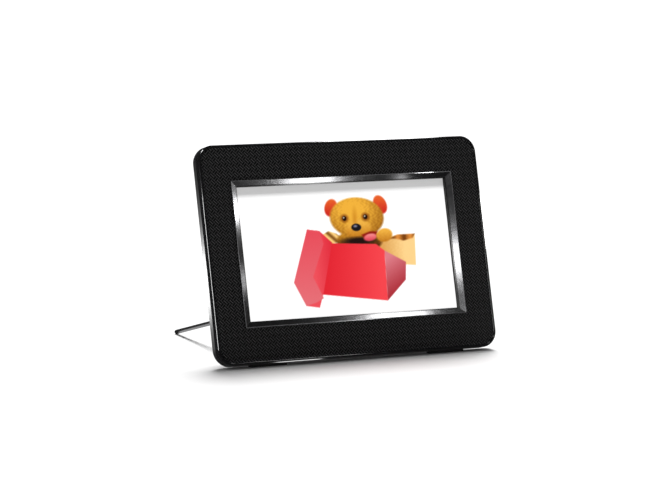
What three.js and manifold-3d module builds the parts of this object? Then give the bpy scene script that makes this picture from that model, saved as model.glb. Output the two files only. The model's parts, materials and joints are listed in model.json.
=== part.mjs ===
// A 7 inch digital photo frame that stands on two rubber pads and one swing-out steel rod.
// Everything is modelled upright in the frame's own axes and leant back at the end:
// X runs to the viewer's right, Y up the front, Z out of the front. The front is at Z = 0,
// the lower edge at Y = 0, and all sizes are in millimetres.
import * as THREE from 'three';
import { mergeVertices } from 'three/addons/utils/BufferGeometryUtils.js';
import Module from 'manifold-3d';

const wasm = await Module();
wasm.setup();

// ---------------------------------------------------------------- driving dimensions
const gap = 0.3; // between pieces that rest on or sit in each other
const through = 3; // how far a cutting tool runs past the face that it opens

const frameWidth = 205.6;
const frameHeight = 141.4;
const cornerRadius = 11;
const wall = 2; // of the rear cover and the front housing
const shellDepth = 10.2; // from the front to the flat back of the flange
const shellEdge = 2.4; // rounding at the back of the side wall
const bodyDepth = 22.2; // from the front to the back of the raised middle
const bulgeInset = 16; // side of the raised middle, in from the side of the frame
const bulgeFoot = 12; // lower edge of the raised middle, above the frame's lower edge
const bulgeHead = 12; // upper edge of the raised middle, below the frame's upper edge
const bulgeRadius = 12;
const bulgeEdge = 4;

const rimWall = 1.7; // of the gloss moulding round the front
const rimDepth = 3.6;
const rimSeam = 0.7; // open shadow line between the rim and the rear cover
const rimEdge = 1.1;
const panelThickness = 1.7;
const panelRecess = 0.4; // panel face behind the rim's face
const panelClearance = 0.2;

const screenWidth = 154; // visible picture
const screenHeight = 86.6;
const trimSide = 4.7; // width of the bevelled trim at the sides of the picture
const trimEnd = 4; // and above and below it
const trimProud = 0.2;
const trimLip = 0.5; // flat edge outside the bevel
const trimBevelDepth = 2.1;
const trimBack = -2.5;

const lcdWidth = 165; // outside of the display's steel frame
const lcdHeight = 100;
const glassBorder = 4; // glass outside the visible picture, on each side
const gasketWidth = 2.5;
const gasketThickness = 0.5;
const glassThickness = 1.2;
const diffuserThickness = 0.4;
const lightGuideThickness = 2.4;
const trayThickness = 0.8;
const steelSheet = 0.6;
const ledStripHeight = 2;

const bracketWidth = 44; // along the edge of the display
const bracketSheet = 0.7;
const bracketReach = 8; // over the display's back
const bracketEar = 5.4; // beyond the display's edge
const bracketStep = 1.7; // from the strap down to the ear

const boardThickness = 1.6;
const boardHeight = 50;
const boardEndGap = 1.6; // from the board's end to the cover's wall
const boardDrop = 23.7; // board's lower edge below the middle of the screen
const cable = 0.3; // thickness of a flat cable

const buttonNames = ['menu', 'previous', 'play', 'next', 'exit'];
const buttonPitch = 12;
const buttonWidth = 8;
const buttonHeight = 5;
const buttonProud = 1;
const buttonFlange = 1;
const buttonTravel = 0.8;
const buttonRow = 12; // centre of the button row below the top of the raised middle
const buttonRowStart = -38;
const buttonBoardHeight = 13;
const tactSize = 6;
const tactHeight = 1.8;
const plungerHeight = 0.5;
const sliderTravel = 3;
const sliderWidth = 4;

const speakerRadius = 10;
const speakerHeight = 4.4;
const speakerInset = 17; // centre in from the side of the raised middle
const grilleSlots = 5;
const grillePitch = 3.2;
const grilleSlotHeight = 1.4;

const rodRadius = 1.5;
const rodReach = 111; // from the hinge axis to the centre of the rod's round end
const rodSide = 34.2; // rod's place in from the left side of the frame
const rodHeight = 34.5; // and up from its lower edge
const hingeDepth = 18.4; // hinge axis behind the front
const knuckleRadius = 3.6;
const knuckleHeight = 8;
const collarRadius = 2.8;
const collarLength = 8;
const pinRadius = 1.1;
const lugThickness = 4;
const washerThickness = 0.5;
const tipLength = 6;
const spigotRadius = 0.8;
const channelClearance = 1.2; // each side of the folded rod

const padLength = 26;
const padDepth = 3.8;
const padFront = -4.7;
const padSunk = 0.9;
const padProud = 1; // at the middle of its sole
const padInset = 24; // from the side of the frame to the pad

const screwHeadRadius = 2.4;
const screwHeadHeight = 1.1;
const screwShankRadius = 1.2;
const coverScrewInset = 12; // from the side and from the top or the bottom
const coverScrewLength = 5.2;
const boardPostX = 55;
const boardPostInset = 3.5; // from the board's lower and upper edges
const postRadius = 3;

// ---------------------------------------------------------------- derived places
const screenY = frameHeight / 2;
const bulgeWidth = frameWidth - 2 * bulgeInset;
const bulgeHeight = frameHeight - bulgeFoot - bulgeHead;
const bulgeTop = frameHeight - bulgeHead;
const bulgeY = (bulgeFoot + bulgeTop) / 2;
const coverFront = -(rimDepth + rimSeam);
const flangeInner = -(shellDepth - wall);
const bulgeInner = -(bodyDepth - wall);
const panelFront = -panelRecess;
const panelBack = panelFront - panelThickness;
const housingFront = panelBack - gap;
const gasketFront = trimBack - gap;
const glassFront = gasketFront - gasketThickness - gap;
const glassBack = glassFront - glassThickness;
const diffuserFront = glassBack - gap;
const guideFront = diffuserFront - diffuserThickness - gap;
const guideBack = guideFront - lightGuideThickness;
const trayFront = guideBack - gap;
const trayBack = trayFront - trayThickness;
const insideWidth = lcdWidth - 2 * (steelSheet + gap);
const insideHeight = lcdHeight - 2 * (steelSheet + gap);
const boardLength = bulgeWidth - 2 * (wall + boardEndGap);
const buttonY = bulgeTop - buttonRow;

// The button stack, from the cover's wall forwards: flange, travel, tact switch, its board. The flat
// cable lies on that board, and the back of the main board is clear of the cable.
const flangeFront = bulgeInner + gap; // back of the button flange faces the cover's wall
const flangeTop = flangeFront + buttonFlange;
const plungerTip = flangeTop + buttonTravel + 0.2;
const tactBase = plungerTip + plungerHeight + tactHeight;
const buttonBoardBack = tactBase + gap;
const buttonBoardFront = buttonBoardBack + boardThickness;
const boardFace = buttonBoardFront + cable + 2 * gap; // back face, where the components sit
const componentBase = boardFace - gap;
const boardBase = screenY - boardDrop;
const hingeX = -frameWidth / 2 + rodSide;
const hingeZ = -hingeDepth;
const tipCentreZ = hingeZ - rodReach;
const padCentreZ = padFront - padDepth / 2;

// The floor touches the middle of each pad's sole and the round end of the rod.
const rise = rodHeight + padProud;
const run = padCentreZ - tipCentreZ;
const lean = Math.atan2(rise, run) - Math.asin(rodRadius / Math.hypot(rise, run));

// ---------------------------------------------------------------- shapes
function roundedRect(width, height, radius) {
  const x = width / 2 - radius;
  const y = height / 2 - radius;
  const quarter = Math.PI / 2;
  const shape = new THREE.Shape();
  shape.absarc(x, y, radius, 0, quarter);
  shape.absarc(-x, y, radius, quarter, 2 * quarter);
  shape.absarc(-x, -y, radius, 2 * quarter, 3 * quarter);
  shape.absarc(x, -y, radius, 3 * quarter, 4 * quarter);
  shape.closePath();
  return shape;
}

function rectangle(width, height) {
  const x = width / 2;
  const y = height / 2;
  return new THREE.Shape([
    new THREE.Vector2(-x, -y),
    new THREE.Vector2(x, -y),
    new THREE.Vector2(x, y),
    new THREE.Vector2(-x, y),
  ]);
}

// A plate across Z, from z = back to z = front, with both its outlines rounded over by edge.
function plate({ width, height, radius = 0, back, front, edge = 0, edgeDepth = edge, x = 0, y = 0, steps = 3 }) {
  const shape = radius > 0 ? roundedRect(width, height, radius) : rectangle(width, height);
  const geometry = new THREE.ExtrudeGeometry(shape, {
    depth: front - back - 2 * edgeDepth,
    bevelEnabled: edge > 0,
    bevelThickness: edgeDepth,
    bevelSize: edge,
    bevelOffset: -edge,
    bevelSegments: steps,
    curveSegments: 6,
  });
  return geometry.translate(x, y, back + edgeDepth);
}

// A box given by its lowest and highest x, y and z.
function block([x0, x1], [y0, y1], [z0, z1]) {
  const geometry = new THREE.BoxGeometry(x1 - x0, y1 - y0, z1 - z0);
  return geometry.translate((x0 + x1) / 2, (y0 + y1) / 2, (z0 + z1) / 2);
}

// A cylinder along 'x', 'y' or 'z', centred on a point.
function cylinder(radius, length, along, [x, y, z], sides = 20) {
  const geometry = new THREE.CylinderGeometry(radius, radius, length, sides);
  if (along === 'x') geometry.rotateZ(-Math.PI / 2);
  if (along === 'z') geometry.rotateX(Math.PI / 2);
  return geometry.translate(x, y, z);
}

// A turned piece along Z: its profile is a list of [radius, z] from end to end on the axis.
function turned(profile, sides = 20) {
  const points = profile.map(([radius, z]) => new THREE.Vector2(radius, z));
  return new THREE.LatheGeometry(points, sides).rotateX(Math.PI / 2);
}

// An outline in the Z-Y plane, carried along X from x0 to x1: points are [z, y].
function profileAlongX(points, x0, x1) {
  const shape = new THREE.Shape(points.map(([z, y]) => new THREE.Vector2(-z, y)));
  const geometry = new THREE.ExtrudeGeometry(shape, { depth: x1 - x0, bevelEnabled: false });
  return geometry.rotateY(Math.PI / 2).translate(x0, 0, 0);
}

function solid(geometry) {
  const bare = geometry.index ? geometry.toNonIndexed() : geometry.clone();
  bare.deleteAttribute('normal');
  bare.deleteAttribute('uv');
  const merged = mergeVertices(bare, 1e-4);
  const mesh = new wasm.Mesh({
    numProp: 3,
    vertProperties: merged.attributes.position.array,
    triVerts: new Uint32Array(merged.index.array),
  });
  return new wasm.Manifold(mesh);
}

// Joins the first list of geometries, then cuts the second list away from them.
function shaped(joined, removed = []) {
  let result = solid(joined[0]);
  for (const geometry of joined.slice(1)) result = result.add(solid(geometry));
  for (const geometry of removed) result = result.subtract(solid(geometry));
  const mesh = result.getMesh();
  const made = new THREE.BufferGeometry();
  made.setAttribute('position', new THREE.BufferAttribute(new Float32Array(mesh.vertProperties), 3));
  made.setIndex(new THREE.BufferAttribute(new Uint32Array(mesh.triVerts), 1));
  made.computeVertexNormals();
  return made;
}

function finish(color, roughness, metalness = 0) {
  return new THREE.MeshStandardMaterial({ color, roughness, metalness });
}

const assembly = new THREE.Group();

function piece(name, geometry, material, [x, y, z] = [0, 0, 0], parent = assembly) {
  const mesh = new THREE.Mesh(geometry, material);
  mesh.name = name;
  mesh.position.set(x, y, z);
  parent.add(mesh);
  return mesh;
}

// ---------------------------------------------------------------- front: rim, panel, trim
piece('front_rim', shaped(
  [plate({ width: frameWidth, height: frameHeight, radius: cornerRadius, back: -rimDepth, front: 0, edge: rimEdge })],
  [plate({
    width: frameWidth - 2 * rimWall,
    height: frameHeight - 2 * rimWall,
    radius: cornerRadius - rimWall,
    back: -rimDepth - through,
    front: through,
  })],
), finish(0x08080a, 0.12), [0, screenY, 0]);

const trimOuterWidth = screenWidth + 2 * trimSide;
const trimOuterHeight = screenHeight + 2 * trimEnd;
const panelInset = rimWall + panelClearance;

piece('textured_panel', shaped(
  [plate({
    width: frameWidth - 2 * panelInset,
    height: frameHeight - 2 * panelInset,
    radius: cornerRadius - panelInset,
    back: panelBack,
    front: panelFront,
  })],
  [plate({
    width: trimOuterWidth + 2 * panelClearance,
    height: trimOuterHeight + 2 * panelClearance,
    back: panelBack - through,
    front: through,
  })],
), finish(0x141416, 0.45), [0, screenY, 0]);

// The bevel falls from the lip to the picture's edge. It is cut by a plate with a chamfered back,
// stretched so that the chamfer is wider at the sides than above and below.
const bevelSide = trimSide - trimLip;
const bevelEnd = trimEnd - trimLip;
const bevelBack = trimProud - trimBevelDepth;
function chamferedOpening() {
  const unit = 4;
  const widthScale = bevelSide / unit;
  const heightScale = bevelEnd / unit;
  const tool = plate({
    width: screenWidth / widthScale + 2 * unit,
    height: screenHeight / heightScale + 2 * unit,
    back: bevelBack,
    front: bevelBack + 3 * trimBevelDepth,
    edge: unit,
    edgeDepth: trimBevelDepth,
    steps: 1,
  });
  return tool.scale(widthScale, heightScale, 1);
}
piece('screen_trim', shaped(
  [plate({ width: trimOuterWidth, height: trimOuterHeight, back: trimBack, front: trimProud })],
  [
    chamferedOpening(),
    plate({ width: screenWidth, height: screenHeight, back: trimBack - through, front: through }),
  ],
), finish(0x8c8c90, 0.25, 1), [0, screenY, 0]);

// ---------------------------------------------------------------- front housing
const housingInset = wall + 0.4; // clear of the rear cover's wall
const housingWall = wall;
const housingPlate = housingFront - wall;
const housingBack = flangeInner + gap;
const coverScrewX = frameWidth / 2 - coverScrewInset;
const coverScrewRows = [coverScrewInset, frameHeight - coverScrewInset];
const coverBossFront = -6.6;
const bossRadius = 3.4;
const pilotRadius = screwShankRadius + gap;
const bracketFace = trayBack - gap;
const bracketBack = bracketFace - bracketSheet;
const earFace = bracketFace + bracketStep;
const earReach = lcdHeight / 2 + bracketEar - 2.4; // of the bracket screws, from the screen's middle

function housingGeometry() {
  const bosses = [];
  const pilots = [];
  const bossFront = housingFront - gap;
  const pilotFront = housingFront - 0.8;
  const addBoss = (radius, x, y, back) => {
    bosses.push(cylinder(radius, bossFront - back, 'z', [x, y, (bossFront + back) / 2]));
    pilots.push(cylinder(pilotRadius, pilotFront - back + 1, 'z', [x, y, (pilotFront + back - 1) / 2], 12));
  };
  for (const side of [-1, 1]) {
    for (const y of coverScrewRows) addBoss(bossRadius, side * coverScrewX, y, coverBossFront + gap);
    addBoss(2.2, 0, screenY + side * earReach, earFace + gap);
  }
  const outer = plate({
    width: frameWidth - 2 * housingInset,
    height: frameHeight - 2 * housingInset,
    radius: cornerRadius - housingInset,
    back: housingBack,
    front: housingFront,
    y: screenY,
  });
  const inner = plate({
    width: frameWidth - 2 * (housingInset + housingWall),
    height: frameHeight - 2 * (housingInset + housingWall),
    radius: cornerRadius - housingInset - housingWall,
    back: housingBack - through,
    front: housingPlate,
    y: screenY,
  });
  const opening = plate({
    width: lcdWidth + 2 * gap,
    height: lcdHeight + 2 * gap,
    back: housingBack - through,
    front: through,
    y: screenY,
  });
  const hollow = shaped([outer], [inner, opening]);
  return shaped([hollow, ...bosses], pilots);
}
piece('front_housing', housingGeometry(), finish(0x1a1a1c, 0.6));

// ---------------------------------------------------------------- display
piece('lcd_gasket', shaped(
  [plate({
    width: screenWidth + 2 * (gasketWidth + 0.5),
    height: screenHeight + 2 * (gasketWidth + 0.5),
    back: gasketFront - gasketThickness,
    front: gasketFront,
  })],
  [plate({ width: screenWidth + 1, height: screenHeight + 1, back: gasketFront - through, front: through })],
), finish(0x101010, 0.95), [0, screenY, 0]);

const glassWidth = screenWidth + 2 * glassBorder;
const glassHeight = screenHeight + 2 * glassBorder;
piece('lcd_steel_frame', shaped(
  [plate({ width: lcdWidth, height: lcdHeight, back: trayBack, front: gasketFront })],
  [
    plate({ width: lcdWidth - 2 * steelSheet, height: lcdHeight - 2 * steelSheet, back: trayBack - through, front: glassFront + gap }),
    plate({ width: glassWidth - 1.4, height: glassHeight - 1.4, back: trayBack, front: through }),
  ],
), finish(0xb8babc, 0.35, 1), [0, screenY, 0]);

piece('lcd_glass', plate({ width: glassWidth, height: glassHeight, back: glassBack, front: glassFront }),
  finish(0xf4f6f8, 0.2), [0, screenY, 0]);
piece('diffuser_sheet', plate({
  width: glassWidth,
  height: glassHeight,
  back: diffuserFront - diffuserThickness,
  front: diffuserFront,
}), finish(0xf0f0ec, 0.8), [0, screenY, 0]);

const guideHeight = insideHeight - ledStripHeight - gap;
const ledStripY = screenY - insideHeight / 2 + ledStripHeight / 2;
piece('light_guide', plate({ width: insideWidth, height: guideHeight, back: guideBack, front: guideFront }),
  finish(0xe8eef0, 0.1), [0, screenY + (ledStripHeight + gap) / 2, 0]);
piece('led_strip', plate({ width: insideWidth - 8, height: ledStripHeight, back: guideBack, front: guideFront }),
  finish(0xf2f0d8, 0.5), [0, ledStripY, 0]);
piece('backlight_tray', plate({ width: insideWidth, height: insideHeight, back: trayBack, front: trayFront }),
  finish(0xc4c6c8, 0.4, 1), [0, screenY, 0]);

// Each bracket is a Z-bent steel strap: over the display's back, then down to an ear on a boss.
const screwHead = { radius: screwHeadRadius, height: screwHeadHeight };

function screw(length, head = screwHead) {
  const blank = turned([
    [0, -head.height],
    [head.radius * 0.72, -head.height],
    [head.radius, -head.height * 0.55],
    [head.radius, 0],
    [screwShankRadius, 0],
    [screwShankRadius, length - screwShankRadius],
    [screwShankRadius * 0.6, length],
    [0, length],
  ], 16);
  const slot = head.radius * 0.14;
  const reach = head.radius * 0.62;
  const slotDepth = [-head.height - through, -head.height * 0.4];
  return shaped([blank], [
    block([-reach, reach], [-slot, slot], slotDepth),
    block([-slot, slot], [-reach, reach], slotDepth),
  ]);
}

const steel = finish(0xb0b2b4, 0.4, 1);
const screwSteel = finish(0x9a9a9c, 0.3, 1);

for (const [side, name] of [[-1, 'lower'], [1, 'upper']]) {
  const outerY = lcdHeight / 2 + bracketEar;
  const stepY = lcdHeight / 2 + gap;
  const strapY = lcdHeight / 2 - bracketReach;
  const outline = [
    [bracketBack, strapY],
    [bracketBack, stepY + bracketSheet],
    [earFace - bracketSheet, stepY + bracketSheet],
    [earFace - bracketSheet, outerY],
    [earFace, outerY],
    [earFace, stepY],
    [bracketFace, stepY],
    [bracketFace, strapY],
  ];
  const strap = profileAlongX(outline, -bracketWidth / 2, bracketWidth / 2);
  if (side < 0) strap.rotateZ(Math.PI);
  const hole = cylinder(pilotRadius, 4 * through, 'z', [0, side * earReach, earFace], 12);
  piece(`lcd_bracket_${name}`, shaped([strap], [hole]), steel, [0, screenY, 0]);
  piece(`bracket_screw_${name}`, screw(3.2, { radius: 2, height: 0.9 }), screwSteel,
    [0, screenY + side * earReach, earFace - bracketSheet - gap]);
}

// ---------------------------------------------------------------- sockets round the board
// Every socket opens outwards in X: its nose stands in a window of the cover's side wall.
const bulgeSide = bulgeWidth / 2;
const noseX = bulgeSide - 0.6;
const sockets = [
  { name: 'dc_jack', side: 1, y: boardBase + 6, width: 7, depth: 12, height: 5, round: 2 },
  { name: 'usb_host_socket', side: 1, y: boardBase + 18.5, width: 13.2, depth: 14, height: 5.2, tongue: 1.8 },
  { name: 'mini_usb_socket', side: 1, y: boardBase + 31, width: 7.8, depth: 9, height: 3.8, tongue: 1.2 },
  { name: 'earphone_jack', side: 1, y: boardBase + 41, width: 6.4, depth: 12, height: 5, round: 1.8 },
  { name: 'card_socket', side: -1, y: boardBase + 28, width: 27, depth: 25, height: 3.6, tongue: 0.8 },
];
const socketWall = 0.6;
const socketFinish = finish(0xa8aaac, 0.35, 1);
const jackFinish = finish(0x161618, 0.5);

for (const { name, side, y, width, depth, height, round, tongue } of sockets) {
  const nose = [side * (noseX - depth), side * noseX].sort((a, b) => a - b);
  const deep = [side * (noseX - depth + 1.2), side * (noseX + through)].sort((a, b) => a - b);
  const body = block(nose, [-width / 2, width / 2], [-height, 0]);
  let geometry;
  if (round) {
    const bore = cylinder(round, depth - 1.2 + through, 'x', [(deep[0] + deep[1]) / 2, 0, -height / 2]);
    geometry = shaped([body], [bore]);
    if (name === 'dc_jack') {
      const pin = cylinder(0.6, depth - 3, 'x', [side * (noseX - depth / 2 - 0.9), 0, -height / 2], 12);
      geometry = shaped([geometry, pin]);
    }
  } else {
    const hollow = block(deep, [socketWall - width / 2, width / 2 - socketWall], [socketWall - height, -socketWall]);
    const tongueX = [side * (noseX - depth + 0.6), side * (noseX - 1.2)].sort((a, b) => a - b);
    const middle = -height / 2;
    const blade = block(tongueX, [1.6 - width / 2, width / 2 - 1.6], [middle - tongue / 2, middle + tongue / 2]);
    geometry = shaped([shaped([body], [hollow]), blade]);
  }
  piece(name, geometry, round ? jackFinish : socketFinish, [0, y, componentBase]);
}

// The power switch: a housing with a slotted face, and a slider that runs up it.
const switchY = boardBase + 7;
const switchLength = 11;
const switchHeight = 4.6;
const switchDepth = 5;
const sliderNub = 2;
const sliderLow = switchY - sliderTravel / 2 - sliderWidth / 2;
const slotLow = sliderLow - gap;
const slotHigh = sliderLow + sliderWidth + sliderTravel + gap;
const switchFace = -(bulgeSide - wall - gap);
const switchZ = componentBase - switchHeight / 2;
const nubZ = [switchZ - sliderNub / 2, switchZ + sliderNub / 2];
const baseZ = [switchZ - 1.5, switchZ + 1.5];
const baseX = [switchFace + 0.8 + gap, switchFace + 2.6];
piece('power_switch_body', shaped(
  [block([switchFace, switchFace + switchDepth], [switchY - switchLength / 2, switchY + switchLength / 2],
    [componentBase - switchHeight, componentBase])],
  [
    block([switchFace + 0.8, switchFace + 2.6 + gap], [slotLow - 1, slotHigh + 1], [baseZ[0] - gap, baseZ[1] + gap]),
    block([switchFace - through, switchFace + 1.6], [slotLow, slotHigh], [nubZ[0] - gap, nubZ[1] + gap]),
  ],
), jackFinish);
piece('power_switch_slider', shaped([
  block(baseX, [sliderLow - 1, sliderLow + sliderWidth + 1], baseZ),
  block([-bulgeSide - 1, baseX[0] + 0.5], [sliderLow, sliderLow + sliderWidth], nubZ),
]), finish(0x2a2a2c, 0.5));

// ---------------------------------------------------------------- rear cover
const grilleX = bulgeSide - speakerInset;
const speakerY = bulgeTop - 16;
const buttonXs = buttonNames.map((_, i) => buttonRowStart + i * buttonPitch);
const buttonBoardX = (buttonXs[0] + buttonXs.at(-1)) / 2;
const buttonBoardWidth = buttonXs.at(-1) - buttonXs[0] + 24;
const buttonPostX = buttonBoardWidth / 2 - 3;
const boardPostRows = [boardBase + boardPostInset, boardBase + boardHeight - boardPostInset];

const pocketX = [hingeX - knuckleRadius - 1, hingeX + knuckleRadius + collarLength + 1];
const pocketHalf = knuckleHeight / 2 + washerThickness + gap;
const pocketFloor = hingeZ + knuckleRadius + 0.8;
const channelEnd = hingeX + rodReach + rodRadius + channelClearance;
const channelHalf = rodRadius + channelClearance;
const channelFloor = hingeZ + rodRadius + 0.8;
const scoopX = channelEnd - 9;
const scoopRadius = 8;
const skin = wall * 0.8; // round the pocket and the channel

const padPlaces = [['left', -(frameWidth / 2 - padInset - padLength / 2)], ['right', frameWidth / 2 - padInset - padLength / 2]];

function coverGeometry() {
  const shellFront = coverFront + 2 * shellEdge;
  const shell = shaped(
    [
      plate({
        width: frameWidth,
        height: frameHeight,
        radius: cornerRadius,
        back: -shellDepth,
        front: shellFront,
        edge: shellEdge,
        y: screenY,
      }),
      plate({
        width: bulgeWidth,
        height: bulgeHeight,
        radius: bulgeRadius,
        back: -bodyDepth,
        front: -shellDepth + bulgeEdge + 0.4,
        edge: bulgeEdge,
        y: bulgeY,
        steps: 4,
      }),
    ],
    [
      plate({
        width: frameWidth - 2 * wall,
        height: frameHeight - 2 * wall,
        radius: cornerRadius - wall,
        back: flangeInner,
        front: shellFront + through,
        y: screenY,
      }),
      plate({
        width: bulgeWidth - 2 * wall,
        height: bulgeHeight - 2 * wall,
        radius: bulgeRadius - wall,
        back: bulgeInner,
        front: shellFront,
        edge: 1.6,
        y: bulgeY,
        steps: 2,
      }),
      block([-frameWidth, frameWidth], [-through, frameHeight + through], [coverFront, shellFront + through]),
    ],
  );

  const added = [
    block([pocketX[0] - skin, pocketX[1] + skin],
      [rodHeight - pocketHalf - lugThickness, rodHeight + pocketHalf + lugThickness],
      [bulgeInner - 0.5, pocketFloor + skin]),
    block([pocketX[1], channelEnd + skin], [rodHeight - channelHalf - skin, rodHeight + channelHalf + skin],
      [bulgeInner - 0.5, channelFloor + skin]),
    cylinder(scoopRadius + skin, channelFloor + skin - bulgeInner + 0.5, 'z',
      [scoopX, rodHeight, (channelFloor + skin + bulgeInner - 0.5) / 2], 32),
  ];
  const cut = [
    block(pocketX, [rodHeight - pocketHalf, rodHeight + pocketHalf], [-bodyDepth - through, pocketFloor]),
    block([pocketX[0], channelEnd], [rodHeight - channelHalf, rodHeight + channelHalf],
      [-bodyDepth - through, channelFloor]),
    cylinder(scoopRadius, channelFloor + bodyDepth + through, 'z',
      [scoopX, rodHeight, (channelFloor - bodyDepth - through) / 2], 32),
    cylinder(pinRadius + gap, 2 * (pocketHalf + lugThickness + 1), 'y', [hingeX, rodHeight, hingeZ], 16),
  ];

  for (const side of [-1, 1]) {
    for (const y of coverScrewRows) {
      added.push(cylinder(bossRadius, coverBossFront - flangeInner + 1, 'z',
        [side * coverScrewX, y, (coverBossFront + flangeInner - 1) / 2]));
      cut.push(cylinder(pilotRadius, 12, 'z', [side * coverScrewX, y, -shellDepth], 16));
      cut.push(cylinder(screwHeadRadius + gap, 2 * 1.6, 'z', [side * coverScrewX, y, -shellDepth]));
    }
    for (const y of boardPostRows) {
      const length = componentBase - bulgeInner + 0.5;
      added.push(cylinder(postRadius, length, 'z', [side * boardPostX, y, componentBase - length / 2], 16));
      cut.push(cylinder(pilotRadius, 10, 'z', [side * boardPostX, y, componentBase], 12));
    }
    const length = buttonBoardBack - 2 * gap - bulgeInner + 0.5;
    const postX = buttonBoardX + side * buttonPostX;
    added.push(cylinder(2.4, length, 'z', [postX, buttonY, buttonBoardBack - 2 * gap - length / 2], 16));
    cut.push(cylinder(pilotRadius, 6, 'z', [postX, buttonY, buttonBoardBack], 12));

    const ring = turned([[speakerRadius + 2, 0], [speakerRadius + 2, 3.5], [speakerRadius + gap, 3.5], [speakerRadius + gap, 0], [speakerRadius + 2, 0]], 28);
    added.push(ring.translate(side * grilleX, speakerY, bulgeInner - 0.5));
    for (let i = 0; i < grilleSlots; i += 1) {
      const offset = (i - (grilleSlots - 1) / 2) * grillePitch;
      const half = Math.sqrt((speakerRadius - 2) ** 2 - offset ** 2);
      const y = speakerY + offset;
      cut.push(block([side * grilleX - half, side * grilleX + half], [y - grilleSlotHeight / 2, y + grilleSlotHeight / 2],
        [-bodyDepth - through, bulgeInner + through / 2]));
    }
  }

  for (const x of buttonXs) {
    cut.push(block([x - buttonWidth / 2 - gap, x + buttonWidth / 2 + gap],
      [buttonY - buttonHeight / 2 - gap, buttonY + buttonHeight / 2 + gap],
      [-bodyDepth - through, bulgeInner + through / 2]));
  }
  for (let i = 0; i < 6; i += 1) {
    const x = -12.5 + i * 5;
    cut.push(block([x - 0.8, x + 0.8], [boardBase + 13, boardBase + 37], [-bodyDepth - through, bulgeInner + through / 2]));
  }
  for (const { side, y, width, height } of sockets) {
    const x = [side * (bulgeSide - wall - 1), side * (bulgeSide + through)].sort((a, b) => a - b);
    cut.push(block(x, [y - width / 2 - gap, y + width / 2 + gap],
      [componentBase - height - gap, componentBase + gap - 0.01]));
  }
  cut.push(block([-bulgeSide - through, -bulgeSide + wall + 1], [slotLow, slotHigh], [nubZ[0] - gap, nubZ[1] + gap]));
  for (const [, x] of padPlaces) {
    cut.push(block([x - padLength / 2 - gap, x + padLength / 2 + gap], [-through, padSunk],
      [padFront - padDepth - gap, padFront + gap]));
  }
  return shaped([shell, ...added], cut);
}
piece('rear_cover', coverGeometry(), finish(0x141416, 0.55));

let number = 0;
for (const y of coverScrewRows) {
  for (const side of [-1, 1]) {
    number += 1;
    piece(`cover_screw_${number}`, screw(coverScrewLength), finish(0x303032, 0.4, 1),
      [side * coverScrewX, y, -shellDepth + 1.6 - gap]);
  }
}

// ---------------------------------------------------------------- main board
piece('main_board', shaped(
  [block([-boardLength / 2, boardLength / 2], [boardBase, boardBase + boardHeight], [boardFace, boardFace + boardThickness])],
  [-1, 1].flatMap((side) => boardPostRows.map((y) => (
    cylinder(pilotRadius, 4 * through, 'z', [side * boardPostX, y, boardFace], 12)
  ))),
), finish(0x0f5a32, 0.5));

number = 0;
for (const y of boardPostRows) {
  for (const side of [-1, 1]) {
    number += 1;
    const made = piece(`board_screw_${number}`, screw(5, { radius: 2.2, height: 0.9 }), screwSteel,
      [side * boardPostX, y, boardFace + boardThickness + gap]);
    made.rotation.x = Math.PI;
  }
}

function chip(name, width, height, thickness, x, y, color = 0x1c1c1e) {
  piece(name, plate({ width, height, back: -thickness, front: 0, edge: 0.2, steps: 1 }), finish(color, 0.6),
    [x, y, componentBase]);
}
chip('media_processor', 18, 18, 1.4, 14, boardBase + 27);
chip('memory_chip', 11, 20, 1.1, -12, boardBase + 27);
chip('voltage_coil', 8, 8, 3.6, 40, boardBase + 13, 0x5a5654);
piece('capacitor', turned([[0, -5.6], [2.6, -5.6], [3, -5.2], [3, -0.4], [2.6, 0], [0, 0]], 18),
  finish(0xaab0b8, 0.3, 1), [42, boardBase + 33, componentBase]);
piece('clock_battery', turned([[0, -2.6], [4.8, -2.6], [5.2, -2.2], [6, -2.2], [6, 0], [0, 0]], 24),
  finish(0xc8c8c8, 0.25, 1), [-36, boardBase + 11, componentBase]);

// Flat cables: one from under the display round the board's lower edge, one up to the buttons.
const cableFront = trayBack - gap;
const cableLow = boardBase - 2.4;
const cableStart = screenY - lcdHeight / 2 + bracketReach + 2.3; // just past the lower bracket
piece('lcd_ribbon', profileAlongX([
  [cableFront, cableStart],
  [cableFront, cableLow + cable],
  [componentBase, cableLow + cable],
  [componentBase, boardBase + 8],
  [componentBase - cable, boardBase + 8],
  [componentBase - cable, cableLow],
  [cableFront - cable, cableLow],
  [cableFront - cable, cableStart],
], -22, 10), finish(0xc87828, 0.5));
piece('button_ribbon', block([buttonBoardX - 7, buttonBoardX + 7], [boardBase + boardHeight - 8, buttonY + 3],
  [buttonBoardFront, buttonBoardFront + cable]), finish(0xc87828, 0.5));

// ---------------------------------------------------------------- buttons on the back
piece('button_board', shaped(
  [block([-buttonBoardWidth / 2, buttonBoardWidth / 2], [-buttonBoardHeight / 2, buttonBoardHeight / 2],
    [0, boardThickness])],
  [-1, 1].map((side) => cylinder(pilotRadius, 4 * through, 'z', [side * buttonPostX, 0, 0], 12)),
), finish(0x0f5a32, 0.5), [buttonBoardX, buttonY, buttonBoardBack]);

for (const [side, name] of [[-1, 'left'], [1, 'right']]) {
  const made = piece(`button_board_screw_${name}`, screw(3.4, { radius: 2, height: 0.8 }), screwSteel,
    [buttonBoardX + side * buttonPostX, buttonY, buttonBoardBack + boardThickness + gap]);
  made.rotation.x = Math.PI;
}

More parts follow.
